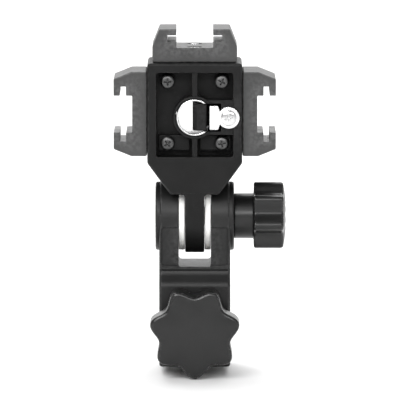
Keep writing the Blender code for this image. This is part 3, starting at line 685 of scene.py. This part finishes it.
def star_knob():
    """The star knob: soft rims, a slightly domed face and a ribbed hollow behind."""
    low, high = span("star_knob")
    front, hub_end = low.y, high.y
    rear = hub_end - 1.0
    rim = 1.1
    dome = 0.7
    down = -math.pi / 2
    lobes = lobed(STAR_TIP_R, STAR_ROOT_R, STAR_LOBES, down, 0.06)
    outline = ring_points(lobes, 28 * STAR_LOBES)
    rings = []

    def ring(w, points):
        rings.append([along("Y", u, v + STAR_Z, w) for u, v in points])

    for w, d in rounded_end(rear, 0.8, -1):
        ring(w, inset(outline, d))
    for w, d in rounded_end(front + dome, rim, 1)[::-1]:
        ring(w, inset(outline, d))
    rim_points = inset(outline, rim)
    for k in range(1, 10):
        share = 1 - k / 9.3
        fade = share**3  # the lobes fade into a round towards the middle
        points = []
        for u, v in rim_points:
            r = math.hypot(u, v)
            scale = share * (fade + (1 - fade) * (STAR_ROOT_R - rim) / r)
            points.append((u * scale, v * scale))
        ring(front + dome * share**2, points)
    bm = bmesh.new()
    add_loft(bm, rings)

    hollow = bmesh.new()
    cup = lobed(STAR_TIP_R - 2.2, STAR_ROOT_R - 2.0, STAR_LOBES, down)
    cup = ring_points(cup, 16 * STAR_LOBES, (0.0, STAR_Z))
    add_stack(hollow, cup, "Y", hollow_out(rear - 3.0, rear, 0.3))
    hub = [(rear - 4.0, 6.9), (hub_end, 6.7, 0.3), (hub_end, 2.0)]
    hub_bm = turned(fillet(hub, closed=False), "Y", (0.0, STAR_Z))
    ribs = bmesh.new()
    rib_start, rib_end, rib_half_w = 5.0, 13.6, 0.6
    for k in range(STAR_LOBES):
        angle = math.pi * 2 * k / STAR_LOBES + down
        out = Vector((math.cos(angle), math.sin(angle)))
        side = Vector((-math.sin(angle), math.cos(angle))) * rib_half_w
        near, far = out * rib_start, out * rib_end
        rib = [(c.x, c.y + STAR_Z) for c in (near - side, far - side, far + side, near + side)]
        add_stack(ribs, rib, "Y", block(rear - 4.0, rear - 0.3, 0.0, 0.2))
    bore = turned([(front + 3.7, 3.3), (hub_end + 2.0, 3.3)], "Y", (0.0, STAR_Z))
    return combined(bm, ("cut", hollow), ("join", ribs), ("join", hub_bm), ("cut", bore))


def build_tilt_clamp():
    centre = (0.0, TILT_Z)
    low, high = span("tilt_washer")
    bm = new_solid(add_tube, "X", centre, 6.2, BOLT_R + HOLE_GAP, low.x, high.x, 0.15)
    piece("tilt_washer_fine", bm, "screw_steel", "tilt_washer", "tilt_washer")

    low, high = span("tilt_knob_insert")
    bm = new_solid(add_tube, "X", centre, 4.5, BOLT_R + HOLE_GAP, low.x, high.x, 0.25)
    piece("tilt_knob_insert_fine", bm, "insert_brass", "tilt_knob", "tilt_knob_insert")
    piece("tilt_knob_fine", tilt_knob(), "knob_plastic", "tilt_knob", "tilt_knob")


def tilt_knob():
    """The small lobed knob with its round hub, and a shallow dish in its end."""
    low, high = span("tilt_knob")
    hub_r = 7.7
    count = 28 * KNOB_LOBES
    lobes = lobed(KNOB_TIP_R, KNOB_ROOT_R, KNOB_LOBES, math.pi / 2, 0.1)
    outline = ring_points(lobes, count)
    rings = []

    def ring(w, points):
        rings.append([along("X", u, v + TILT_Z, w) for u, v in points])

    for w, d in rounded_end(low.x - FILL, 0.3, 1):
        ring(w, ring_points(hub_r - d, count))
    ring(KNOB_HEAD_X - 0.4, ring_points(hub_r, count))
    ring(KNOB_HEAD_X, ring_points(hub_r + 0.3, count))
    for w, d in rounded_end(KNOB_HEAD_X, 0.7, 1):
        ring(w, inset(outline, d))
    dome = 0.9
    for w, d in rounded_end(high.x - dome, 1.0, -1)[::-1]:
        ring(w, inset(outline, d))
    for k in range(1, 8):
        share = 1 - k / 9.5
        ring(high.x - dome * share**2.2, [(u * share, v * share) for u, v in inset(outline, 1.0)])
    bm = bmesh.new()
    add_loft(bm, rings)
    dish = [(high.x - 0.8, 0.5), (high.x - 0.8, 3.6, 0.4), (high.x - 0.3, 4.3, 0.3), (high.x + 2.0, 4.3)]
    bore = [(low.x - 2.0, 6.5), (low.x + 1.1, 6.5), (low.x + 1.1, 4.8), (26.3, 4.8)]
    return combined(
        bm,
        ("cut", turned(fillet(dish, closed=False), "X", (0.0, TILT_Z))),
        ("cut", turned(bore, "X", (0.0, TILT_Z))),
    )


# ---------------------------------------------------------------- head

HEAD_HALF_W = HEAD_HIGH.x
HEAD_FRONT_Y = HEAD_LOW.y
HEAD_REAR_Y = 10.0
HEAD_TOP_Z = HEAD_HIGH.z
REAR_UNDERSIDE_Z = TILT_Z + 12.9
CHEST_KNEE = (13.1, 65.4)
CHEST_FOOT = (8.2, 58.7)
TONGUE_HALF_W = 3.3
TONGUE_R = 12.5
EAR_CLEAR_R = 12.6  # the hollow in the chest that clears the ears
CAVITY_Y = -1.5
SCREW_HOLE_R = 1.5
SHOE_SCREW_Y = 7.0
RECESS_HALF_W = 13.0
RECESS_LOW_Z = 71.6
RECESS_HIGH_Z = 100.2
FLOOR_Y = -4.5
RING_R = 7.3
RING_FRONT_Y = -13.2
SLEEVE_R = 6.2
JAW_HALF_H = 4.5
JAW_TAIL_HALF_H = 4.0
JAW_FLANGE_HALF_H = 4.8
GUIDE_HALF_H = 6.2
BORE_R = 5.6
PLATE_SEAT_Y = -12.9
COVER_SCREWS = {n: [(a + b) / 2 for a, b in zip(*span(f"cover_screw_{n}"))] for n in (1, 2, 3, 4)}
BOSS_R = 2.5
BOSS_FRONT_Y = -9.5
PAD_FRONT_Y = -8.0
EYE_X = 11.5
EYE_R = 3.7


def head_corners(low_z):
    """The head from the front, as (X, Z, radius), with its lower corners cut back, down to a height."""
    slope = (CHEST_KNEE[0] - CHEST_FOOT[0]) / (CHEST_KNEE[1] - CHEST_FOOT[1])
    low_x = CHEST_FOOT[0] + (low_z - CHEST_FOOT[1]) * slope
    right = [(HEAD_HALF_W, HEAD_TOP_Z, 1.2), (HEAD_HALF_W, 69.5, 1.6), (low_x, low_z, 1.6)]
    return mirrored(right)


def head_outline(low_z):
    return fillet(head_corners(low_z), steps=8)


def build_head():
    body = stacked(head_outline(CHEST_FOOT[1]), "Y", block(HEAD_FRONT_Y, HEAD_REAR_Y, 0.8, 0.2))
    ears = turned([(-20.0, EAR_CLEAR_R), (20.0, EAR_CLEAR_R)], "X", (0.0, TILT_Z), ROUND)
    under = rectangle(-20.0, -1.0, 20.0, 20.0)
    under = stacked(under, "Z", [(TILT_Z - 5.0, 0.0), (REAR_UNDERSIDE_Z, 0.0)])
    recess = rectangle(-RECESS_HALF_W, RECESS_LOW_Z, RECESS_HALF_W, RECESS_HIGH_Z, 0.9)
    recess = stacked(recess, "Y", hollow_out(FLOOR_Y, HEAD_FRONT_Y, 0.35))
    cavity = rectangle(-RECESS_HALF_W, 66.2, RECESS_HALF_W, RECESS_HIGH_Z)
    cavity = stacked(cavity, "Y", [(CAVITY_Y, 0.0), (20.0, 0.0)])
    guide = rectangle(1.0, BORE_Z - GUIDE_HALF_H, RECESS_HALF_W + 0.6, BORE_Z + GUIDE_HALF_H)
    guide = stacked(guide, "Y", [(CAVITY_Y - 1.0, 0.0), (HEAD_REAR_Y - 0.4, 0.0)])
    body = combined(body, ("cut", ears), ("cut", under), ("join", tongue()))
    steps = [("cut", recess), ("cut", cavity)]
    steps += [("join", bm) for bm in recess_islands()]
    steps += [("join", guide)]
    steps += [("cut", bm) for bm in head_bores() + jaw_channel()]
    return combined(soften(body, on_tongue_root, 0.9, 4), *steps)


def on_tongue_root(a, b):
    """True for the hollow edges where the tongue's sides leave the chest."""
    at_side = max(abs(abs(a.x) - TONGUE_HALF_W), abs(abs(b.x) - TONGUE_HALF_W)) < 0.05
    at_root = max(abs(a.z - CHEST_FOOT[1]), abs(b.z - CHEST_FOOT[1])) < 0.05
    return at_side and at_root


def tongue():
    """The tongue, from its outline as (Y, Z): round about the tilt axis, its front meeting the chest's."""
    top = TILT_Z + 14.5
    back = 9.5
    points = [(TONGUE_R, REAR_UNDERSIDE_Z - 4.0), (back, REAR_UNDERSIDE_Z - HOLE_GAP), (back, top)]
    points += [(HEAD_FRONT_Y + 0.3, top), (HEAD_FRONT_Y + 0.12, CHEST_FOOT[1] + 0.9)]
    points += arc(TONGUE_R, 190, 360, 60, (0.0, TILT_Z))
    return stacked(points, "X", block(-TONGUE_HALF_W, TONGUE_HALF_W, 0.5, 0.5))


def recess_islands():
    """What stands up from the floor of the front recess."""
    root = FLOOR_Y + 0.6
    side = RECESS_HALF_W + 0.6
    islands = []

    def island(outline, front, edge=0.25):
        islands.append(stacked(outline, "Y", block(front, root, edge, 0.0)))

    profile = [(RING_FRONT_Y, 5.5), (RING_FRONT_Y, RING_R, 0.35), (root, RING_R)]
    islands.append(turned(fillet(profile, closed=False), "Y", (0.0, BORE_Z), ROUND))
    wall = JAW_HALF_H + HOLE_GAP + 1.1
    island(rectangle(1.0, BORE_Z - wall, side, BORE_Z + wall), -12.7)
    eye_front, eye_r = RING_FRONT_Y + 0.05, EYE_R + 0.3
    profile = [(eye_front, 1.0), (eye_front, eye_r, 0.3), (root, eye_r)]
    islands.append(turned(fillet(profile, closed=False), "Y", (EYE_X, BORE_Z)))
    for side in (-1, 1):
        ends = sorted((side * 1.7, side * 12.3))
        island(rectangle(ends[0], RECESS_LOW_Z + 1.8, ends[1], RECESS_LOW_Z + 7.0, 0.5), PAD_FRONT_Y)
    for x, _, z in COVER_SCREWS.values():
        profile = [(BOSS_FRONT_Y, 1.0), (BOSS_FRONT_Y, BOSS_R, 0.3), (root, BOSS_R)]
        islands.append(turned(fillet(profile, closed=False), "Y", (x, z)))
    rib = 0.9
    rib_front = RING_FRONT_Y + 0.3
    island(rectangle(-rib, BORE_Z + RING_R - 1.5, rib, RECESS_HIGH_Z + 0.6), rib_front)
    island(rectangle(-rib, RECESS_LOW_Z - 0.6, rib, BORE_Z - RING_R + 1.5), rib_front)
    for z in (BORE_Z - 0.7, BORE_Z + 5.0):
        island(rectangle(-side, z - 0.6, -RING_R + 2.2, z + 0.6), -10.0)
    return islands


def head_bores():
    """The umbrella bore, the plate's seat and the screw holes."""
    bore = bored(SLEEVE_R + HOLE_GAP, 20.0, RING_FRONT_Y, 0.15)
    holes = bmesh.new()
    for x, _, z in COVER_SCREWS.values():
        add_turned(holes, [(-20.0, SCREW_HOLE_R), (0.0, SCREW_HOLE_R)], "Y", (x, z), 40)
    side_z = sum(c.z for c in span("shoe_left")) / 2
    for y in (-SHOE_SCREW_Y, SHOE_SCREW_Y):
        add_turned(holes, [(13.6, SCREW_HOLE_R), (20.0, SCREW_HOLE_R)], "X", (y, side_z))
        add_turned(holes, [(-20.0, SCREW_HOLE_R), (-13.6, SCREW_HOLE_R)], "X", (y, side_z))
        add_turned(holes, [(101.0, SCREW_HOLE_R), (110.0, SCREW_HOLE_R)], "Z", (0.0, y))
    bolt_hole = [(-10.0, BOLT_R + HOLE_GAP), (10.0, BOLT_R + HOLE_GAP)]
    return [
        turned(bore, "Y", (0.0, BORE_Z), ROUND),
        stacked(plate_outline(HOLE_GAP), "Y", [(-20.0, 0.0), (PLATE_SEAT_Y, 0.0)]),
        turned([(-20.0, SCREW_HOLE_R), (-6.5, SCREW_HOLE_R)], "Y", (EYE_X, BORE_Z)),
        holes,
        turned(bolt_hole, "X", (0.0, TILT_Z)),
    ]


def jaw_channel():
    """The jaw's way through the ring and the wall, and its tail's guide behind the wall."""
    mouth = JAW_HALF_H + HOLE_GAP
    tail = JAW_TAIL_HALF_H + HOLE_GAP
    flange = JAW_FLANGE_HALF_H + HOLE_GAP
    boxes = (
        (rectangle(1.5, BORE_Z - mouth, 8.95, BORE_Z + mouth, 0.3), -20.0, -0.3),
        (rectangle(1.6, BORE_Z - tail, 6.4, BORE_Z + tail), -0.5, 20.0),
        (rectangle(6.3, BORE_Z - flange, RECESS_HALF_W, BORE_Z + flange), -0.4, 20.0),
    )
    return [stacked(outline, "Y", [(low, 0.0), (high, 0.0)]) for outline, low, high in boxes]


def rear_cover():
    """The plate that closes the head's back, with its inner screw bosses."""
    low, high = span("rear_cover")
    levels = block(HEAD_REAR_Y + HOLE_GAP, high.y, 0.2, 0.9)
    body = stacked(head_outline(REAR_UNDERSIDE_Z), "Y", levels)
    panel = inset([corner[:2] for corner in head_corners(REAR_UNDERSIDE_Z)], 2.2)
    panel = fillet([(x, z, 1.0) for x, z in panel], steps=8)
    panel = stacked(panel, "Y", hollow_out(high.y - 0.5, high.y, 0.25))
    bosses = bmesh.new()
    holes = bmesh.new()
    for x, _, z in COVER_SCREWS.values():
        add_turned(bosses, [(low.y, BOSS_R), (HEAD_REAR_Y + 1.0, BOSS_R)], "Y", (x, z))
        add_turned(holes, [(-5.0, SCREW_HOLE_R), (9.0, SCREW_HOLE_R)], "Y", (x, z))
    rim_r = SLEEVE_R + 1.6
    rim = fillet([(high.y - 2.0, rim_r), (high.y, rim_r, 0.3), (high.y, 2.0)], closed=False)
    rim = turned(rim, "Y", (0.0, BORE_Z), ROUND)
    bore = turned(bored(SLEEVE_R + HOLE_GAP, 0.0, high.y, 0.2), "Y", (0.0, BORE_Z), ROUND)
    return combined(body, ("cut", panel), ("join", rim), ("join", bosses), ("cut", bore), ("cut", holes))


# ---------------------------------------------------------------- umbrella bore


def plate_outline(margin=0.0):
    """The retainer plate from the front, as (X, Z): a tab with a round eye at its right end."""
    half = 4.1 + margin
    eye = EYE_R + margin
    waist = 2.2 + margin
    neck_x = EYE_X - math.sqrt(eye**2 - waist**2)
    start = math.degrees(math.atan2(-waist, neck_x - EYE_X))
    low = [(5.0 - margin, -half, 0.4), (neck_x - 0.6 + margin, -half, 0.5), (neck_x, -waist)]
    eye_arc = arc(eye, start, -start, 40, (EYE_X, 0.0))[1:-1]
    high = [(p[0], -p[1], *p[2:]) for p in reversed(low)]
    return [(x, BORE_Z + z) for x, z in fillet(low + eye_arc + high)]


def build_bore_parts():
    low, high = span("bore_sleeve")
    sleeve = new_solid(add_tube, "Y", (0.0, BORE_Z), SLEEVE_R, BORE_R, low.y, high.y, 0.22, ROUND)
    half = JAW_HALF_H + HOLE_GAP
    window = rectangle(0.0, BORE_Z - half, 10.0, BORE_Z + half, 0.5)
    window = stacked(window, "Y", [(-20.0, 0.0), (9.8, 0.0)])
    piece("bore_sleeve_fine", combined(sleeve, ("cut", window)), "sleeve_steel", "head", "bore_sleeve")

    low, high = span("retainer_plate")
    plate = stacked(plate_outline(), "Y", block(low.y, high.y, 0.25, 0.1))
    hole = turned([(-20.0, SCREW_HOLE_R), (0.0, SCREW_HOLE_R)], "Y", (EYE_X, BORE_Z))
    piece("retainer_plate_fine", combined(plate, ("cut", hole)), "plate_steel", "head", "retainer_plate")

    piece("clamp_jaw_fine", jaw(), "jaw_rubber", "jaw", "clamp_jaw")
    build_spring()


def jaw():
    """The sprung jaw: grooved face, taller front block, tail with stop flange, and spring pocket."""
    low, high = span("clamp_jaw")
    face, back, tail = low.x, 4.05, high.x
    front, rear = low.y, high.y
    lead = 1.5  # the slope at each end that lets a shaft push the jaw aside
    edge = 0.5
    outline = [(face, front + lead, edge), (face + lead, front, edge), (back, front, edge), (back, 0.0)]
    outline += [(tail, 0.0, edge), (tail, rear, edge), (face + lead, rear, edge), (face, rear - lead, edge)]
    ends = (BORE_Z - JAW_TAIL_HALF_H, BORE_Z + JAW_TAIL_HALF_H)
    body = stacked(fillet(outline), "Z", block(*ends, 0.3, 0.3))
    face, back, front = face + 0.05, back - 0.05, front + 0.05
    outline = [(face, front + lead, edge), (face + lead, front, edge), (back, front, edge)]
    outline += [(back, -0.6, edge), (face, -0.6, edge)]
    ends = (BORE_Z - JAW_HALF_H, BORE_Z + JAW_HALF_H)
    taller = stacked(fillet(outline), "Z", block(*ends, 0.3, 0.3))
    flange = rectangle(tail - 1.0, 0.05, tail - 0.05, rear - 0.05, 0.25)
    ends = (BORE_Z - JAW_FLANGE_HALF_H, BORE_Z + JAW_FLANGE_HALF_H)
    flange = stacked(flange, "Z", block(*ends, 0.15, 0.15))
    pocket = turned([(back + 0.55, 1.95), (20.0, 1.95)], "X", (rear / 2, BORE_Z))
    # The comb cuts the grooves: a zigzag in X and Z that crosses the face.
    comb = [(face - 1.0, BORE_Z + 3.4), (face - 1.0, BORE_Z - 3.4)]
    for k in range(-4, 5):
        comb.append((face + (0.3 if k % 2 else -0.2), BORE_Z + 0.75 * k))
    grooves = stacked(comb, "Y", [(front + lead + 0.4, 0.0), (rear - lead - 0.4, 0.0)])
    return combined(body, ("join", taller), ("join", flange), ("cut", pocket), ("cut", grooves))


def build_spring():
    """The jaw's coil spring, with closed end turns."""
    low, high = span("jaw_spring")
    wire = 0.25
    coil = (high.z - low.z) / 2 - wire
    y = (low.y + high.y) / 2
    turns, steps_a_turn, sides = 6.5, 36, 10
    steps = int(turns * steps_a_turn)
    rings = []
    for i in range(steps + 1):
        angle = 2 * math.pi * turns * i / steps
        share = i / steps
        eased = share - 0.35 * math.sin(2 * math.pi * share) / (2 * math.pi)  # closer turns at the ends
        x = low.x + wire + (high.x - low.x - 2 * wire) * eased
        ring = []
        for side in range(sides):
            turn = 2 * math.pi * side / sides
            r = coil + wire * math.cos(turn)
            ring.append((x + wire * math.sin(turn), y + r * math.cos(angle), BORE_Z + r * math.sin(angle)))
        rings.append(ring)
    spring = piece("jaw_spring_fine", new_solid(add_loft, rings), "spring_steel", "head", "jaw_spring")
    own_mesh(spring)


# ---------------------------------------------------------------- shoes and screws

SHOE_TURNS = {"left": -90.0, "right": 90.0, "top": 0.0}  # degrees about Y
SHOE_HALF_L = 11.5
SHOE_HALF_W = 14.35
SHOE_TOP_Z = 11.1
SHOE_FLOOR_Z = 4.8
SLOT_LOW_Z = 6.9
SLOT_HIGH_Z = 9.0
SLOT_MOUTH_X = 6.25
SLOT_SIDE_X = 9.35
SEAT_R = 2.6  # of the seats in the shoes, and of the retainer screw's head
SCREW_HEAD_R = 2.3
SCREW_HEAD_H = 1.2
SHOE_SEAT_Z = SHOE_FLOOR_Z - 0.1 - SCREW_HEAD_H


def shoe_place(side):
    """Where a shoe's own frame is: base on Z = 0, slot along Y and mouth towards +Z."""
    low, high = span(f"shoe_{side}")
    middle = (low + high) / 2
    origin = {
        "left": Vector((high.x, 0.0, middle.z)),
        "right": Vector((low.x, 0.0, middle.z)),
        "top": Vector((0.0, 0.0, low.z)),
    }[side]
    return Matrix.Translation(origin) @ Matrix.Rotation(math.radians(SHOE_TURNS[side]), 4, "Y")


def shoe():
    """One accessory shoe for the common foot: a T-shaped slot, rounded edges and two screw seats."""
    right = [(11.95, SHOE_TOP_Z, 0.6), (SHOE_HALF_W, 5.1, 1.6), (SHOE_HALF_W, -FILL, 0.7)]
    outer = fillet(mirrored(right), steps=6)
    body = stacked(outer, "Y", block(-SHOE_HALF_L, SHOE_HALF_L, 0.5, 0.5))
    slot = [(SLOT_MOUTH_X, 14.0), (SLOT_MOUTH_X, SLOT_HIGH_Z, 0.2), (SLOT_SIDE_X, SLOT_HIGH_Z, 0.2)]
    slot += [(SLOT_SIDE_X, SLOT_LOW_Z, 0.2), (SLOT_MOUTH_X, SLOT_LOW_Z, 0.25)]
    slot += [(SLOT_MOUTH_X, SHOE_FLOOR_Z, 0.3)]
    slot = stacked(fillet(mirrored(slot), steps=3), "Y", THROUGH)
    holes = bmesh.new()
    for y in (-SHOE_SCREW_Y, SHOE_SCREW_Y):
        seat = SHOE_SEAT_Z - HOLE_GAP
        profile = [(-2.0, SCREW_HOLE_R), (seat, SCREW_HOLE_R), (seat, SEAT_R)]
        profile += bored(SEAT_R, seat, SHOE_FLOOR_Z, 0.2, 2.0)[1:]
        add_turned(holes, profile, "Z", (0.0, y))
    bm = combined(body, ("cut", slot), ("cut", holes))
    return soften(bm, on_shoe_mouth, 0.15, 2)


def on_shoe_mouth(a, b):
    """True for the edges of a shoe's lips and of its slot's two open ends."""
    low_z = min(a.z, b.z)
    at_lip = abs(abs(a.x) - SLOT_MOUTH_X) < 0.02 and low_z > SHOE_TOP_Z - 0.2
    along_lip = abs(a.y - b.y) > 1.0 and at_lip
    in_slot = max(abs(a.x), abs(b.x)) < SLOT_SIDE_X + 0.15 and low_z > SHOE_FLOOR_Z - 0.1
    at_end = min(abs(a.y), abs(b.y)) > SHOE_HALF_L - 0.2
    return along_lip or (at_end and in_slot)


def screw(head_r, head_h, length, cross_turn):
    """A cross-head screw along Z, with its head's underside on Z = 0 and its head towards +Z."""
    shank_r = 1.2
    profile = [(-length, 0.4)] + thread("Z", shank_r, 0.22, 0.6, -length + 0.6, -0.6)
    profile.append((0.0, shank_r))
    rim = [(0.0, shank_r), (0.0, head_r, 0.12), (head_h * 0.45, head_r, 0.2)]
    profile += fillet(rim, closed=False, steps=3)[1:]
    dome = head_h * 0.5
    for k in range(1, 8):
        angle = math.pi / 2 * k / 8
        profile.append((head_h * 0.5 + dome * math.sin(angle), head_r * math.cos(angle) ** 0.62))
    body = turned(profile, "Z")
    arm, half = head_r * 0.56, head_r * 0.13
    quarter = [(arm, -half), (arm, half), (half, half)]
    outline = []
    for turn in range(4):
        corner = Matrix.Rotation(turn * math.pi / 2 + cross_turn, 2)
        outline += [tuple(corner @ Vector(p)) for p in quarter]
    levels = [(head_h * 0.3, half * 0.7), (head_h + 0.05, 0.0), (head_h + 1.0, 0.0)]
    cross = stacked(outline, "Z", levels)
    return combined(body, ("cut", cross))


def placed(bm, matrix):
    """The same bmesh after it is moved by a matrix."""
    bmesh.ops.transform(bm, matrix=matrix, verts=bm.verts)
    return bm


def build_shoes():
    master = shoe()
    number = 0
    for side in SHOE_TURNS:
        place = shoe_place(side)
        piece(f"shoe_{side}_fine", placed(master.copy(), place), "shoe_plastic", "head", f"shoe_{side}")
        for index, y in ((1, -SHOE_SCREW_Y), (2, SHOE_SCREW_Y)):
            node = f"shoe_screw_{side}_{index}"
            seat = Matrix.Translation((0.0, y, SHOE_SEAT_Z))
            bm = placed(screw(SCREW_HEAD_R, SCREW_HEAD_H, 6.0, 0.7 + 2.4 * number), place @ seat)
            piece(f"{node}_fine", bm, "screw_steel", "head", node)
            number += 1
    master.free()


def build_front_screws():
    to_front = Matrix.Rotation(math.pi / 2, 4, "X")
    for number, (x, _, z) in COVER_SCREWS.items():
        low, high = span(f"cover_screw_{number}")
        head_h = 1.4
        seat = low.y + head_h
        place = Matrix.Translation((x, seat, z)) @ to_front
        bm = placed(screw(SCREW_HEAD_R, head_h, high.y - seat, 0.5 + 1.1 * number), place)
        # the cover screws' darker steel is painted shade of the recess
        piece(f"cover_screw_{number}_fine", bm, "cover_screw_steel", "head", f"cover_screw_{number}")
    low, high = span("retainer_screw")
    head_h = 1.1
    seat = low.y + head_h
    place = Matrix.Translation((EYE_X, seat, BORE_Z)) @ to_front
    bm = placed(screw(SEAT_R, head_h, high.y - seat, 0.3), place)
    piece("retainer_screw_fine", bm, "screw_steel", "head", "retainer_screw")


# ---------------------------------------------------------------- stage

FLOOR_DROP = 0.3  # the floor's distance below the bracket


def build_stage(low):
    """A pale floor a little below the bracket, rising into a round wall far away."""
    flat_radius, curve_radius, sides = 900.0, 2200.0, 64
    rings = []
    for k in range(17):
        angle = math.radians(70.0 * k / 16)
        radius = flat_radius + curve_radius * math.sin(angle)
        height = low.z / MM - FLOOR_DROP + curve_radius * (1 - math.cos(angle))
        rings.append([(x * MM, y * MM, height * MM) for x, y in ring_points(radius, sides)])
    bm = bmesh.new()
    loops = [[bm.verts.new(point) for point in ring] for ring in rings]
    bm.faces.new(loops[0])
    for inner, outer in zip(loops, loops[1:]):
        for i in range(sides):
            j = (i + 1) % sides
            bm.faces.new((inner[j], inner[i], outer[i], outer[j]))
    mesh = bpy.data.meshes.new("floor")
    bm.to_mesh(mesh)
    bm.free()
    mesh.shade_smooth()
    floor = bpy.data.objects.new("floor", mesh)
    bpy.context.scene.collection.objects.link(floor)
    g = Graph("pale_floor")
    tone = g.mixed(g.between(g.noise(160.0, 3.0), 0.3, 0.7), 0.86, 0.90)
    mesh.materials.append(g.surface(Base_Color=tone, Roughness=0.8, Specular_IOR_Level=0.2))


def soft_light(name, place, size, power, target):
    """A large rectangular light at a place, facing the target. All in metres."""
    data = bpy.data.lights.new(name, "AREA")
    data.shape = "RECTANGLE"
    data.size, data.size_y = size
    data.energy = power
    lamp = bpy.data.objects.new(name, data)
    lamp.location = place
    lamp.rotation_euler = (Vector(target) - Vector(place)).to_track_quat("-Z", "Y").to_euler()
    bpy.context.scene.collection.objects.link(lamp)


def build_lights(target):
    soft_light("key", (-0.45, -0.80, 0.80), (0.7, 0.5), 7.5, target)
    soft_light("strip", (0.0, -1.13, 0.52), (1.1, 0.2), 6.0, target)
    soft_light("fill", (0.9, -0.8, 0.3), (0.7, 0.9), 0.6, target)
    soft_light("top", (0.0, 0.45, 1.0), (1.0, 0.6), 7.0, target)
    soft_light("floor_wash", (0.0, 1.6, 1.6), (2.4, 1.6), 36.0, (0.0, 1.6, 0.0))
    world = bpy.data.worlds.new("studio")
    bpy.context.scene.world = world
    world.use_nodes = True
    background = world.node_tree.nodes["Background"]
    background.inputs["Color"].default_value = (1.0, 1.0, 1.0, 1.0)
    background.inputs["Strength"].default_value = 0.3


def build_camera(low, high):
    """The photograph's view: straight at the front, from a little above."""
    distance = 1.6
    elevation = math.radians(6.5)
    share_of_height = 0.86
    middle = (low + high) / 2
    data = bpy.data.cameras.new("camera")
    data.sensor_width = 36.0
    data.lens = data.sensor_width * distance * share_of_height / (high.z - low.z)
    data.clip_start, data.clip_end = 0.05, 20.0
    camera = bpy.data.objects.new("camera", data)
    back = Vector((0.0, -math.cos(elevation), math.sin(elevation)))
    camera.location = middle + back * distance
    camera.rotation_euler = (-back).to_track_quat("-Z", "Y").to_euler()
    bpy.context.scene.collection.objects.link(camera)
    bpy.context.scene.camera = camera


def main():
    bpy.context.scene.view_settings.view_transform = "Standard"
    piece("yoke_body_fine", build_yoke(), "yoke_plastic", "yoke", "yoke_body")
    build_hinge()
    build_star_clamp()
    build_tilt_clamp()
    piece("head_body_fine", build_head(), "head_plastic", "head", "head_body")
    piece("rear_cover_fine", rear_cover(), "head_plastic", "head", "rear_cover")
    build_bore_parts()
    build_shoes()
    build_front_screws()
    low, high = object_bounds()
    build_stage(low)
    build_lights((low + high) / 2)
    build_camera(low, high)


main()
